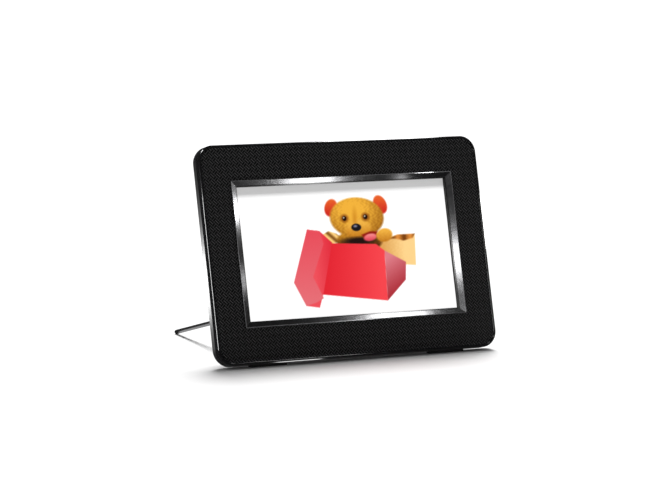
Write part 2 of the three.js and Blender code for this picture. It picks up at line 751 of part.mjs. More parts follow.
buttonNames.forEach((name, i) => {
  const x = buttonXs[i];
  const tact = [
    block([-tactSize / 2, tactSize / 2], [-tactSize / 2, tactSize / 2], [-tactHeight, 0]),
    cylinder(1.6, plungerHeight + 0.2, 'z', [0, 0, -tactHeight - plungerHeight / 2 + 0.1], 16),
  ];
  piece(`tact_switch_${name}`, shaped(tact), jackFinish, [x, buttonY, tactBase]);

  // The cap's flange stops on the inside of the cover's wall, and its face is dished.
  const capBack = -bodyDepth - buttonProud;
  const cap = plate({
    width: buttonWidth,
    height: buttonHeight,
    radius: 1.2,
    back: capBack,
    front: flangeFront + 2,
    edge: 0.5,
    steps: 2,
  });
  const trimmed = shaped([cap], [block([-20, 20], [-20, 20], [flangeFront + 0.5, flangeFront + 10])]);
  const flange = block([-buttonWidth / 2 - 1.2, buttonWidth / 2 + 1.2], [-buttonHeight / 2 - 1.2, buttonHeight / 2 + 1.2],
    [flangeFront, flangeTop]);
  piece(`button_${name}`, shaped([trimmed, flange]), finish(0x232326, 0.5), [x, buttonY, 0]);
});

// ---------------------------------------------------------------- loudspeakers
for (const [side, name] of [[-1, 'left'], [1, 'right']]) {
  const base = bulgeInner + gap;
  piece(`speaker_${name}`, turned([
    [0, 0.9],
    [3.4, 0.4],
    [7.6, 0.9],
    [8.4, 0],
    [speakerRadius - 0.3, 0],
    [speakerRadius - 0.3, 1.6],
    [6.6, 2.6],
    [6.6, speakerHeight],
    [0, speakerHeight],
  ], 28), finish(0x2c2c30, 0.5), [side * grilleX, speakerY, base]);
}

// ---------------------------------------------------------------- swing-out stand
// At rest the rod stands square to the back. It folds through 90 degrees about the pin, towards
// the right, into the channel.
const stand = new THREE.Group();
stand.position.set(hingeX, rodHeight, hingeZ);
assembly.add(stand);
const chrome = finish(0xc4c6c8, 0.18, 1);

const rodStart = -(pinRadius + 1.4);
const tipStart = -(rodReach - tipLength + rodRadius);
const spigotEnd = -(rodReach - 0.9);
piece('stand_rod', turned([
  [0, spigotEnd],
  [spigotRadius, spigotEnd],
  [spigotRadius, tipStart - gap],
  [rodRadius, tipStart - gap],
  [rodRadius, rodStart - 0.3],
  [rodRadius - 0.3, rodStart],
  [0, rodStart],
].map(([radius, z], i) => (i === 2 || i === 3 ? [radius, tipStart + gap] : [radius, z])), 20), chrome, [0, 0, 0], stand);

const round = Array.from({ length: 7 }, (_, i) => {
  const angle = (i / 6) * (Math.PI / 2);
  return [rodRadius * Math.sin(angle), -rodReach - rodRadius * Math.cos(angle)];
});
piece('rod_tip', turned([
  ...round,
  [rodRadius, tipStart],
  [spigotRadius + gap, tipStart],
  [spigotRadius + gap, spigotEnd - gap],
  [0, spigotEnd - gap],
], 20), finish(0x1c1c1e, 0.8), [0, 0, 0], stand);

const collarEnd = -(knuckleRadius + collarLength);
piece('stand_knuckle', shaped(
  [
    cylinder(knuckleRadius, knuckleHeight, 'y', [0, 0, 0], 28),
    turned([[0, collarEnd], [collarRadius - 0.6, collarEnd], [collarRadius, collarEnd + 0.6], [collarRadius, 0], [0, 0]], 24),
  ],
  [
    cylinder(pinRadius + gap, 2 * knuckleHeight, 'y', [0, 0, 0], 16),
    cylinder(rodRadius + gap, collarLength + 6, 'z', [0, 0, rodStart + gap - (collarLength + 6) / 2], 20),
  ],
), finish(0x3a3a3e, 0.4, 1), [0, 0, 0], stand);

const pinLength = 2 * (pocketHalf + lugThickness) - 1;
piece('hinge_pin', cylinder(pinRadius, pinLength, 'y', [0, 0, 0], 16), steel, [hingeX, rodHeight, hingeZ]);

// ---------------------------------------------------------------- pads under the lower edge
// The soles are cut to lie flat on the floor once the frame leans back.
const slope = Math.tan(lean);
const soleAt = (z) => -padProud - (z - padCentreZ) * slope;
const padBack = padFront - padDepth;
for (const [name, x] of padPlaces) {
  const outline = [
    [padFront, padSunk - gap],
    [padFront, soleAt(padFront)],
    [padBack, soleAt(padBack)],
    [padBack, padSunk - gap],
  ];
  piece(`foot_pad_${name}`, profileAlongX(outline, x - padLength / 2, x + padLength / 2), finish(0x1a1a1a, 0.9));
}

// ---------------------------------------------------------------- lean back and stand on the floor
assembly.rotation.x = Math.PI / 2 - lean;
const frame = new THREE.Group();
frame.add(assembly);
frame.updateMatrixWorld(true);
const bounds = new THREE.Box3().setFromObject(frame, true);
assembly.position.set(
  -(bounds.min.x + bounds.max.x) / 2,
  -(bounds.min.y + bounds.max.y) / 2,
  -bounds.min.z,
);

export default frame;
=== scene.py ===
# %% [markdown]
# # A digital photo frame, finished in Blender
#
# The CAD model already has the true sizes. Here it gets its looks: a gloss black rim, a black
# panel with a fine crossed relief, a brushed bevel round the display, a picture on the display, and a
# plated rod that props it all up. We load the CAD model as a fixed frame of reference, so that every
# new surface can be worked out in the same millimetres.

import json
import math

import bmesh
import bpy
import numpy as np
from mathutils import Matrix, Vector


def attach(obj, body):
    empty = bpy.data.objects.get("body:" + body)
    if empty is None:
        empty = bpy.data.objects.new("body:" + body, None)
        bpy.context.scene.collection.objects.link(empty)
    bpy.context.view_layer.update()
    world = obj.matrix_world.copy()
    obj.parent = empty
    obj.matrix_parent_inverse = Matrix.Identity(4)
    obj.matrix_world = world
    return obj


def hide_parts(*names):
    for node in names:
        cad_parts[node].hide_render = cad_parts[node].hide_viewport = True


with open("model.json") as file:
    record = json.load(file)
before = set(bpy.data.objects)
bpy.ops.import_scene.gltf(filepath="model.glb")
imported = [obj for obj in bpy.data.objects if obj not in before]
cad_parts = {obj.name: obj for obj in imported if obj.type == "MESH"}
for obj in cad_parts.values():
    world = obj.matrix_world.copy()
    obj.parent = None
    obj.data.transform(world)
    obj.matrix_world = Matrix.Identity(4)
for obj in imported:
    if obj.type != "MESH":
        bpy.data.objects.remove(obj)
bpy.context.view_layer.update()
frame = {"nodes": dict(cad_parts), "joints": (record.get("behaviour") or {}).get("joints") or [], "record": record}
nodes = frame["nodes"]

# %% [markdown]
# ## The frame's own axes
#
# The object leans back, which makes every coordinate awkward. So shapes are worked out in the frame's
# own axes, in millimetres: x to the right, y up the front and z out of the front, with the zero point
# at the middle of the front's lower edge. One matrix then carries them to the room. The lean is read
# from the stand's hinge, whose axis runs down the back, and the zero point from the hinge's place.

# %% The frame's own axes
MM = 0.001
hinge = next(j for j in frame["joints"] if j["name"] == "stand_fold")
UP = -Vector(hinge["axis"]).normalized()
RIGHT = Vector((1, 0, 0))
OUT = RIGHT.cross(UP)

FRAME_WIDTH = 205.6
FRAME_HEIGHT = 141.4
CORNER = 11.0
SCREEN_WIDTH = 154.0
SCREEN_HEIGHT = 86.6
TRIM_SIDE = 4.7
TRIM_END = 4.0
MIDDLE = FRAME_HEIGHT / 2
HINGE = np.array([-68.6, 34.5, -18.4])

axes = np.array([RIGHT, UP, OUT])
ZERO = Vector(hinge["pos_m"]) - Vector(HINGE @ axes) * MM


def in_room(points):
    """Frame's own millimetres to the room's metres: zero + x right + y up + z out."""
    points = np.asarray(points, float)
    return (points @ axes) * MM + np.array(ZERO)


LEAN = math.asin(UP.y)
print("lean", round(math.degrees(LEAN), 2), "zero", [round(c, 5) for c in ZERO])

# %% [markdown]
# ## The camera
#
# The frame is seen from its front left and a little above, from nearly two metres away through a long
# lens, which keeps its edges almost parallel. The view is written as two angles, a roll and a
# distance, because those are easier to read than a matrix, and no shift or depth of field is needed.

# %% Camera
AZIMUTH = math.radians(-28.776)
ELEVATION = math.radians(8.212)
ROLL = math.radians(1.183)
DISTANCE = 1.9418
LENS = 163.636
AIM = Vector((0.0, -0.05285, 0.070))
SLIDE = Vector((-0.015219, 0.000004, 0.0))

back = Vector((
    math.sin(AZIMUTH) * math.cos(ELEVATION),
    -math.cos(AZIMUTH) * math.cos(ELEVATION),
    math.sin(ELEVATION),
))
level = (-back).cross(Vector((0, 0, 1))).normalized()
upright = level.cross(-back)
side = level * math.cos(ROLL) + upright * math.sin(ROLL)
top = upright * math.cos(ROLL) - level * math.sin(ROLL)
turn = Matrix((side, top, back)).transposed()

camera_data = bpy.data.cameras.new("camera")
camera_data.lens = LENS
camera_data.sensor_width = 36.0
camera_data.clip_start = 0.1
camera_data.clip_end = 50.0
camera = bpy.data.objects.new("camera", camera_data)
camera.matrix_world = Matrix.Translation(AIM + back * DISTANCE + turn @ SLIDE) @ turn.to_4x4()
bpy.context.scene.collection.objects.link(camera)
bpy.context.scene.camera = camera
print("camera at", [round(c, 3) for c in camera.matrix_world.translation])

# %% [markdown]
# ## Floor, room and lamps
#
# On white, a product stands on a pale floor lit until it is nearly pure white, with only a soft shadow
# left where it stands. Gloss black plastic shows nothing but reflections, so its shape comes
# from lamps of a chosen size in a chosen place. That is why two kinds of lamp are used: broad ones
# light the floor and the picture and aren't mirrored, and flat cards are mirrored only, the way strips
# are set up in a studio to draw a highlight along one edge.

# %% Room
scene = bpy.context.scene
scene.view_settings.view_transform = "Standard"
scene.view_settings.look = "None"

world = bpy.data.worlds.new("studio")
scene.world = world
world.use_nodes = True
room = world.node_tree
room.nodes.clear()
rays = room.nodes.new("ShaderNodeLightPath")
seen = room.nodes.new("ShaderNodeBackground")
seen.inputs["Color"].default_value = (1, 1, 1, 1)
felt = room.nodes.new("ShaderNodeBackground")
felt.inputs["Color"].default_value = (1, 1, 1, 1)
felt.inputs["Strength"].default_value = 0.24
mirrored = room.nodes.new("ShaderNodeBackground")
mirrored.inputs["Color"].default_value = (1, 1, 1, 1)
mirrored.inputs["Strength"].default_value = 0.04
soft_or_gloss = room.nodes.new("ShaderNodeMixShader")
whole = room.nodes.new("ShaderNodeMixShader")
world_out = room.nodes.new("ShaderNodeOutputWorld")
room.links.new(rays.outputs["Is Glossy Ray"], soft_or_gloss.inputs[0])
room.links.new(felt.outputs[0], soft_or_gloss.inputs[1])
room.links.new(mirrored.outputs[0], soft_or_gloss.inputs[2])
room.links.new(rays.outputs["Is Camera Ray"], whole.inputs[0])
room.links.new(soft_or_gloss.outputs[0], whole.inputs[1])
room.links.new(seen.outputs[0], whole.inputs[2])
room.links.new(whole.outputs[0], world_out.inputs["Surface"])


def link_to(light, receivers):
    """Lets a lamp light only the pieces in a collection."""
    light.light_linking.receiver_collection = receivers


def distant_lamp(name, towards, strength, softness):
    """A sun: parallel light from a direction, blurred by an angle in degrees, and never mirrored."""
    data = bpy.data.lights.new(name, "SUN")
    data.energy = strength
    data.angle = math.radians(softness)
    light = bpy.data.objects.new(name, data)
    light.matrix_world = Vector(towards).to_track_quat("Z", "Y").to_matrix().to_4x4()
    light.visible_glossy = False
    scene.collection.objects.link(light)
    return light


LIT_PARTS = ("display", "trim", "rim", "rod", "cover", "panel")
only = {part: bpy.data.collections.new(f"lit_{part}") for part in LIT_PARTS}
distant_lamp("behind_and_above", (0.235, 0.428, 0.873), 3.8, 26)
link_to(distant_lamp("recess_lamp", (0.04, -0.10, 0.995), 11.4, 9), only["display"])
print("floor and display lamps: 2")

# %% [markdown]
# A highlight on a bevel is the mirror image of a lamp. So each card below is placed by the law of
# reflection: we name the place that should shine, which way its surface faces, and how far off the card
# is. The direction to the camera is mirrored in that surface, and the card goes along it. Its length
# sets how much of the edge shines, and its distance how softly the shine ends. Each card lights one
# piece only. The rod is round and mirrors the whole room, so it also gets a wide lamp level above it.

# %% Cards for the highlights
def mirrored_lamp(name, size, brightness, receivers):
    """A rectangle, size in millimetres, that is only mirrored; its power is pi x brightness x area."""
    data = bpy.data.lights.new(name, "AREA")
    data.shape = "RECTANGLE"
    data.size, data.size_y = size[0] * MM, size[1] * MM
    data.energy = brightness * math.pi * data.size * data.size_y
    light = bpy.data.objects.new(name, data)
    light.visible_camera = False
    light.visible_diffuse = False
    scene.collection.objects.link(light)
    link_to(light, receivers)
    return light


def card(name, place, facing, reach, size, run, brightness, receivers):
    """A mirrored lamp at place + reach x mirrored view; all in the frame's own axes."""
    spot = Vector(in_room(place))
    normal = Vector(np.array(facing, float) @ axes).normalized()
    view = (camera.matrix_world.translation - spot).normalized()
    mirrored_view = 2 * normal.dot(view) * normal - view
    light = mirrored_lamp(name, size, brightness, receivers)
    length = Vector(np.array(run, float) @ axes)
    length = (length - mirrored_view * length.dot(mirrored_view)).normalized()
    turned_to = Matrix((length, mirrored_view.cross(length), mirrored_view)).transposed().to_4x4()
    light.matrix_world = Matrix.Translation(spot + mirrored_view * reach * MM) @ turned_to
    print(name, [round(c, 3) for c in light.matrix_world.translation])


HALF_WIDTH = FRAME_WIDTH / 2
UPPER, LOWER = MIDDLE + SCREEN_HEIGHT / 2 + 2, MIDDLE - SCREEN_HEIGHT / 2 - 2
LEFT_SIDE, RIGHT_SIDE = -SCREEN_WIDTH / 2 - 2.3, SCREEN_WIDTH / 2 + 2.3
ROD_SPOT = (HINGE[0] - 1, HINGE[1] - 1, -75)
DOWN_IN, UP_IN = (0, -0.514, 0.857), (0, 0.514, 0.857)
RIGHT_IN, LEFT_IN = (0.447, 0, 0.894), (-0.447, 0, 0.894)
UP_OUT, DOWN_OUT = (0, 0.707, 0.707), (0, -0.707, 0.707)
LEFT_OUT, RIGHT_OUT = (-0.707, 0, 0.707), (0.707, 0, 0.707)
ALONG, ALOFT, FLAT = (1, 0, 0), (0, 1, 0), (0, 0, 1)

card("top_bevel_card", (-24, UPPER, -1), DOWN_IN, 150, (30, 60), ALONG, 14, only["trim"])
card("bottom_bevel_card", (29, LOWER, -1), UP_IN, 170, (36, 60), ALONG, 12, only["trim"])
card("left_bevel_card", (LEFT_SIDE, 99, -1), RIGHT_IN, 160, (9, 16), ALOFT, 50, only["trim"])
card("left_glow_card", (LEFT_SIDE, 54, -1), RIGHT_IN, 160, (12, 16), ALOFT, 5, only["trim"])
card("right_bevel_card", (RIGHT_SIDE, 60, -1), LEFT_IN, 150, (20, 60), ALOFT, 16, only["trim"])
card("trim_lip_card", (-10, MIDDLE, 0), FLAT, 300, (200, 130), ALONG, 0.8, only["trim"])
card("top_rim_card", (34, FRAME_HEIGHT, -0.5), UP_OUT, 160, (80, 220), ALONG, 12, only["rim"])
card("left_rim_card", (-HALF_WIDTH, 58, -0.5), LEFT_OUT, 200, (120, 90), ALOFT, 14, only["rim"])
card("bottom_rim_card", (-46, 0, -0.5), DOWN_OUT, 60, (30, 60), ALONG, 8, only["rim"])
card("right_rim_card", (HALF_WIDTH, 84, -0.5), RIGHT_OUT, 160, (40, 160), ALOFT, 14, only["rim"])
card("corner_rim_card", (-98, 137, -0.5), (-0.5, 0.5, 0.707), 150, (44, 44), ALONG, 36, only["rim"])
card("left_wall_card", (-HALF_WIDTH, 52, -8), (-1, 0, 0), 260, (44, 200), ALOFT, 20, only["cover"])
card("rod_card", ROD_SPOT, (-0.7, -0.7, 0), 150, (240, 120), ALONG, 0.40, only["rod"])
rod_sky = mirrored_lamp("rod_sky_card", (500, 500), 0.9, only["rod"])
rod_sky.matrix_world = Matrix.Translation((0, 0.3, 0.8))
card("panel_card", (92, 40, 0), FLAT, 300, (70, 90), ALONG, 0.07, only["panel"])

# %% Floor
floor_mesh = bpy.data.meshes.new("floor")
HALF = 6.0
floor_corners = [(-HALF, -HALF, 0), (HALF, -HALF, 0), (HALF, HALF, 0), (-HALF, HALF, 0)]
floor_mesh.from_pydata(floor_corners, [], [(0, 1, 2, 3)])
floor = bpy.data.objects.new("floor", floor_mesh)
scene.collection.objects.link(floor)
floor.visible_glossy = False
floor_finish = bpy.data.materials.new("pale_floor")
floor_finish.use_nodes = True
floor_shader = floor_finish.node_tree.nodes["Principled BSDF"]
floor_shader.inputs["Base Color"].default_value = (0.93, 0.93, 0.93, 1)
floor_shader.inputs["Roughness"].default_value = 1.0
floor_shader.inputs["Specular IOR Level"].default_value = 0.0
floor_mesh.materials.append(floor_finish)

# %% [markdown]
# ## Building surfaces from arrays
#
# Every new piece is a surface worked out with numpy. A surface on a grid needs only one helper, which
# joins neighbouring points into quads, and closes the grid round one or both directions. A second
# helper hands a piece to the frame: it puts it in the room, gives it a finish, lets it ride on a body
# and hides the CAD node it stands for.

# %% Mesh helpers
def quads(rows, columns, close_rows=False, close_columns=False, start=0):
    """Corner numbers of the quads between neighbouring points of a rows by columns grid."""
    r = np.arange(rows if close_rows else rows - 1)
    c = np.arange(columns if close_columns else columns - 1)
    r, c = np.meshgrid(r, c, indexing="ij")
    across, along = (c + 1) % columns, (r + 1) % rows
    corners = [r * columns + c, r * columns + across, along * columns + across, along * columns + c]
    return np.stack(corners, -1).reshape(-1, 4) + start


def make_mesh(name, points, faces):
    """A mesh from an array of points in the frame's own millimetres and a list of faces."""
    mesh = bpy.data.meshes.new(name)
    faces = [list(map(int, face)) for face in faces]
    mesh.from_pydata(in_room(points).tolist(), [], faces)
    return mesh


def tidy_mesh(mesh, sharp, merge):
    """Joins points closer than merge, turns the faces outwards, and smooths all but sharp edges."""
    work = bmesh.new()
    work.from_mesh(mesh)
    bmesh.ops.remove_doubles(work, verts=work.verts, dist=merge * MM)
    bmesh.ops.recalc_face_normals(work, faces=work.faces)
    limit = math.radians(sharp)
    for edge in work.edges:
        edge.smooth = edge.is_manifold and edge.calc_face_angle(0.0) < limit
    for face in work.faces:
        face.smooth = True
    open_edges = sum(not edge.is_manifold for edge in work.edges)
    work.to_mesh(mesh)
    work.free()
    return open_edges


def settle(name, mesh, material, body, replaces, sharp=35.0, merge=0.004):
    """Finishes a new piece and hands it to the frame."""
    open_edges = tidy_mesh(mesh, sharp, merge)
    piece = bpy.data.objects.new(name, mesh)
    scene.collection.objects.link(piece)
    mesh.materials.clear()
    mesh.materials.append(material)
    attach(piece, body)
    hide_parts(*replaces)
    print(f"{name}: {len(mesh.polygons)} faces, {open_edges} open edges")
    return piece

# %% [markdown]
# ## Finishes: shared effects
#
# A finish is a shader. The effects that several finishes share are node groups: the fine spark-eroded
# grain of moulded plastic, hairlines of a brush, edges that handling has polished, and dust that has
# settled on what faces up. Each group puts out only masks and heights, and each material mixes them in
# its own amounts. They are given Object coordinates, in metres, so a scale of 1000 means a millimetre.
# Only the trim's hairlines follow its strips instead, through a UV map.

# %% Node helpers
def add(tree, kind, sockets=None, **settings):
    """Adds a node, sets its own settings, and fills or links its sockets by name or number."""
    made = tree.nodes.new("ShaderNode" + kind)
    for key, value in settings.items():
        setattr(made, key, value)
    for key, value in (sockets or {}).items():
        if isinstance(value, bpy.types.NodeSocket):
            tree.links.new(value, made.inputs[key])
        else:
            made.inputs[key].default_value = value
    return made


def object_place(tree):
    """The object's own coordinates, in metres."""
    return add(tree, "TexCoord").outputs["Object"]


def mask_range(tree, value, low, high):
    """Stretches low to high over 0 to 1, held at both ends; returns the output."""
    return add(tree, "MapRange", {"Value": value, "From Min": low, "From Max": high}).outputs[0]


def maths(tree, operation, *values):
    """One Math node; returns its output."""
    return add(tree, "Math", dict(enumerate(values)), operation=operation).outputs[0]


def spread(tree, value, low, high):
    """Carries 0 to 1 over to low to high; returns the output."""
    return add(tree, "MapRange", {"Value": value, "To Min": low, "To Max": high}).outputs[0]


def new_group(name, inputs, outputs):
    """A shader node group with float or vector sockets, and its two ends."""
    tree = bpy.data.node_groups.new(name, "ShaderNodeTree")
    for label, default in inputs.items():
        kind = "NodeSocketVector" if default is None else "NodeSocketFloat"
        socket = tree.interface.new_socket(label, in_out="INPUT", socket_type=kind)
        if default is not None:
            socket.default_value = default
    for label in outputs:
        tree.interface.new_socket(label, in_out="OUTPUT", socket_type="NodeSocketFloat")
    return tree, tree.nodes.new("NodeGroupInput"), tree.nodes.new("NodeGroupOutput")


def use_group(tree, group, sockets):
    """Places a node group in a material with its own values."""
    return add(tree, "Group", sockets, node_tree=group)


# %% Group: moulded grain
grain_tree, ends, out = new_group("moulded_grain", {"Vector": None, "Scale": 1600.0}, ["Height", "Cloud"])
vector = ends.outputs["Vector"]
pits = add(grain_tree, "TexNoise", {"Vector": vector, "Scale": ends.outputs["Scale"], "Detail": 3.0})
cloud = add(grain_tree, "TexNoise", {"Vector": vector, "Scale": 28.0, "Detail": 4.0})
grain_tree.links.new(pits.outputs["Fac"], out.inputs["Height"])
grain_tree.links.new(cloud.outputs["Fac"], out.inputs["Cloud"])
print("group:", grain_tree.name)

# %% Group: hairlines
# The vector is squeezed along the brush, so round noise becomes long fine lines.
hair_tree, ends, out = new_group("hairlines", {"Vector": None, "Fine": 2600.0}, ["Height", "Streak"])
vector, fine = ends.outputs["Vector"], ends.outputs["Fine"]
line = add(hair_tree, "TexNoise", {"Vector": vector, "Scale": fine, "Detail": 2.0})
broad_scale = maths(hair_tree, "MULTIPLY", fine, 0.14)
broad = add(hair_tree, "TexNoise", {"Vector": vector, "Scale": broad_scale, "Detail": 3.0})
hair_tree.links.new(line.outputs["Fac"], out.inputs["Height"])
hair_tree.links.new(broad.outputs["Fac"], out.inputs["Streak"])
print("group:", hair_tree.name)

# %% Group: rubbed edges
# Pointiness is high on convex edges; a little noise breaks the mask up, as handling does.
rub_tree, ends, out = new_group("rubbed_edges", {"Vector": None, "Start": 0.52, "Amount": 1.0}, ["Mask"])
geometry = add(rub_tree, "NewGeometry")
end_value = maths(rub_tree, "ADD", ends.outputs["Start"], 0.08)
convex = mask_range(rub_tree, geometry.outputs["Pointiness"], ends.outputs["Start"], end_value)
patchy = add(rub_tree, "TexNoise", {"Vector": ends.outputs["Vector"], "Scale": 240.0, "Detail": 5.0})
broken = maths(rub_tree, "MULTIPLY", convex, patchy.outputs["Fac"])
rub_tree.links.new(maths(rub_tree, "MULTIPLY", broken, ends.outputs["Amount"]), out.inputs["Mask"])
print("group:", rub_tree.name)

# %% Group: settled dust
dust_tree, ends, out = new_group("settled_dust", {"Vector": None, "Amount": 0.2}, ["Mask"])
facing = add(dust_tree, "SeparateXYZ", {"Vector": add(dust_tree, "NewGeometry").outputs["Normal"]})
upward = mask_range(dust_tree, facing.outputs["Z"], 0.35, 1.0)
specks = add(dust_tree, "TexNoise", {"Vector": ends.outputs["Vector"], "Scale": 900.0, "Detail": 6.0})
layer = maths(dust_tree, "MULTIPLY", upward, specks.outputs["Fac"])
dust_tree.links.new(maths(dust_tree, "MULTIPLY", layer, ends.outputs["Amount"]), out.inputs["Mask"])
print("group:", dust_tree.name)

# %% [markdown]
# ## Finishes: one function for the plain ones
#
# Most pieces are moulded, brushed, plated or coated. Their finishes differ only in amounts, so one
# function makes them all: a base colour that drifts a little, a roughness that follows the grain, edges
# that are slightly polished, some dust, and a bump. The recipe for each kind is one line in a table.

# %% Plain finishes
def start_material(name):
    """An empty node material and its Principled shader."""
    material = bpy.data.materials.new(name)
    material.use_nodes = True
    return material, material.node_tree, material.node_tree.nodes["Principled BSDF"]


def opaque(colour):
    """Three numbers get a 1 as their fourth; a link stays as it is."""
    return colour if isinstance(colour, bpy.types.NodeSocket) else (*colour, 1)


def colour_mix(tree, mask, first, second):
    """Mixes two colours by a mask; returns the colour output."""
    colours = {0: mask, 6: opaque(first), 7: opaque(second)}
    return add(tree, "Mix", colours, data_type="RGBA").outputs[2]


def bump(tree, height, distance):
    """A bump from a height; distance is in metres."""
    return add(tree, "Bump", {"Height": height, "Distance": distance}).outputs["Normal"]


DUST = (0.34, 0.33, 0.31)


def plain_finish(name, colour, metallic=0.0, rough=0.5, vary=0.08, scale=1600.0, depth=0.02,
                 stretch=(1, 1, 1), rub=0.35, dust=0.0):
    """A moulded, coated or brushed finish: colour drift, grain or hairlines, polished edges and dust."""
    material, tree, shader = start_material(name)
    place = object_place(tree)
    squeezed = add(tree, "Mapping", {"Vector": place, "Scale": stretch}).outputs[0]
    if metallic:
        grain = use_group(tree, hair_tree, {"Vector": squeezed, "Fine": scale})
        drift = grain.outputs["Streak"]
    else:
        grain = use_group(tree, grain_tree, {"Vector": squeezed, "Scale": scale})
        drift = grain.outputs["Cloud"]
    edge = use_group(tree, rub_tree, {"Vector": place, "Amount": rub}).outputs["Mask"]
    film = use_group(tree, dust_tree, {"Vector": place, "Amount": dust}).outputs["Mask"]
    dark = [c * (1 - 2 * vary) for c in colour]
    light = [min(1.0, c * (1 + 2 * vary)) for c in colour]
    worn = [min(1.0, c * 1.6 + 0.03) for c in colour]
    rubbed = colour_mix(tree, edge, colour_mix(tree, drift, dark, light), worn)
    tree.links.new(colour_mix(tree, film, rubbed, DUST), shader.inputs["Base Color"])
    grained = spread(tree, grain.outputs["Height"], rough * 0.85, min(1.0, rough * 1.15))
    polished = maths(tree, "MULTIPLY", edge, -0.3 * rough)
    tree.links.new(maths(tree, "ADD", grained, polished), shader.inputs["Roughness"])
    shader.inputs["Metallic"].default_value = metallic
    tree.links.new(bump(tree, grain.outputs["Height"], depth * MM), shader.inputs["Normal"])
    return material


RECIPES = {
    "matte_plastic": dict(rough=0.55, scale=1700.0, depth=0.03, dust=0.12),
    "gloss_plastic": dict(rough=0.16, scale=500.0, depth=0.003, rub=0.1),
    "rubber": dict(rough=0.85, scale=1100.0, depth=0.05, rub=0.5, dust=0.25),
    "brushed_steel": dict(metallic=1.0, rough=0.34, scale=2600.0, depth=0.006, stretch=(0.05, 1, 1)),
    "aluminium": dict(metallic=1.0, rough=0.3, scale=2200.0, depth=0.004),
    "chrome": dict(metallic=1.0, rough=0.12, scale=1500.0, depth=0.001),
    "painted_metal": dict(rough=0.4, scale=900.0, depth=0.02, rub=1.0, dust=0.1),
    "glass": dict(rough=0.08, scale=300.0, depth=0.001),
}
FINISHES = {}
for entry in frame["record"]["materials"]:
    recipe = RECIPES[entry["class"]]
    FINISHES[entry["slot"]] = plain_finish(entry["slot"] + "_finish", entry["base_color"][:3], **recipe)
SATIN_BLACK = (0.018, 0.018, 0.019)
FINISHES["cover_plastic"] = plain_finish("satin_cover", SATIN_BLACK, rough=0.33, scale=1300.0, depth=0.008)
for node in nodes.values():
    for material_slot in node.material_slots:
        material_slot.material = FINISHES[material_slot.material.name.split(".")[0]]
print("finishes:", len(FINISHES), "on", len(nodes), "CAD nodes")

# %% [markdown]
# ## The gloss rim
#
# The rim is one moulding with a soft outer edge and 11 mm corners. Its section never changes, so it is
# a profile carried round a rounded rectangle: eight steps of arc for the outer edge give the narrow
# highlight that shows the edge is round. The CAD rim has three flat steps there.

# %% Rim
RIM_WALL = 1.7
RIM_DEPTH = 3.6
RIM_EDGE = 1.1


def rounded_outline(width, height, radius, steps=24):
    """Corner arcs joined by straight sides: centre + radius (cos a, sin a), and normals (cos a, sin a)."""
    angles = np.linspace(0, np.pi / 2, steps + 1)[None, :] + np.arange(4)[:, None] * np.pi / 2
    normals = np.stack([np.cos(angles), np.sin(angles)], -1)
    corner = np.array([[1, 1], [-1, 1], [-1, -1], [1, -1]]) * [width / 2 - radius, height / 2 - radius]
    points = corner[:, None, :] + radius * normals
    return points.reshape(-1, 2), normals.reshape(-1, 2)


def arc(centre, radius, start, end, steps):
    """Points centre + radius (cos a, sin a) from start to end, in degrees."""
    a = np.radians(np.linspace(start, end, steps + 1))
    return np.stack([centre[0] + radius * np.cos(a), centre[1] + radius * np.sin(a)], -1)


def swept_ring(outline, normals, profile):
    """Profile points (offset along the normal, z) carried round a closed outline."""
    flat = outline[:, None, :] + normals[:, None, :] * profile[None, :, :1]
    height = np.broadcast_to(profile[None, :, 1:], flat.shape[:2] + (1,))
    points = np.concatenate([flat, height], -1).reshape(-1, 3)
    points[:, 1] += MIDDLE
    return points, quads(len(outline), len(profile), close_rows=True, close_columns=True)


SMALL = 0.35
rim_profile = np.concatenate([
    [[-0.2, -RIM_DEPTH], [0.0, 0.2 - RIM_DEPTH]],
    arc((-RIM_EDGE, -RIM_EDGE), RIM_EDGE, 0, 90, 8),
    arc((SMALL - RIM_WALL, -SMALL), SMALL, 90, 180, 4),
    [[-RIM_WALL, -RIM_DEPTH]],
])
rim_points, rim_faces = swept_ring(*rounded_outline(FRAME_WIDTH, FRAME_HEIGHT, CORNER), rim_profile)

gloss, tree, shader = start_material("gloss_black_moulding")
place = object_place(tree)
film = use_group(tree, grain_tree, {"Vector": place, "Scale": 420.0})
tree.links.new(colour_mix(tree, film.outputs["Cloud"], (0.004, 0.004, 0.005), (0.009, 0.009, 0.010)),
               shader.inputs["Base Color"])
tree.links.new(spread(tree, film.outputs["Cloud"], 0.10, 0.18), shader.inputs["Roughness"])
tree.links.new(bump(tree, film.outputs["Height"], 0.002 * MM), shader.inputs["Normal"])
shader.inputs["Specular IOR Level"].default_value = 0.7
shader.inputs["Coat Weight"].default_value = 0.6
shader.inputs["Coat Roughness"].default_value = 0.05
gloss_rim = settle("gloss_rim", make_mesh("gloss_rim", rim_points, rim_faces), gloss,
                   "frame", ["front_rim"])
only["rim"].objects.link(gloss_rim)

# %% [markdown]
# ## The panel and its crossed relief
#
# The panel is flat, but it is pressed with fine ridges, like a weave: small squares in which the ridges
# run along one diagonal alternate with squares in which they run along the other. A bump would vanish
# at its edges, so the ridges are real: the face is a fine grid whose height is a formula. The grid's
# corner squares are bent into quarter discs, which rounds the panel's corners without cutting any quad.

# %% Crossed relief
REPEAT = 6.04
RIDGE = REPEAT / 4
PANEL_INSET = 1.9
PANEL_FRONT = -0.4
PANEL_BACK = -2.1
RELIEF = 0.11
OTHER_WAY_HEIGHT = 0.8
FADE_WIDTH = 0.8
PANEL_PITCH = 0.43
OPENING_GAP = 0.2
OPENING_X = SCREEN_WIDTH / 2 + TRIM_SIDE + OPENING_GAP
OPENING_Y = SCREEN_HEIGHT / 2 + TRIM_END + OPENING_GAP


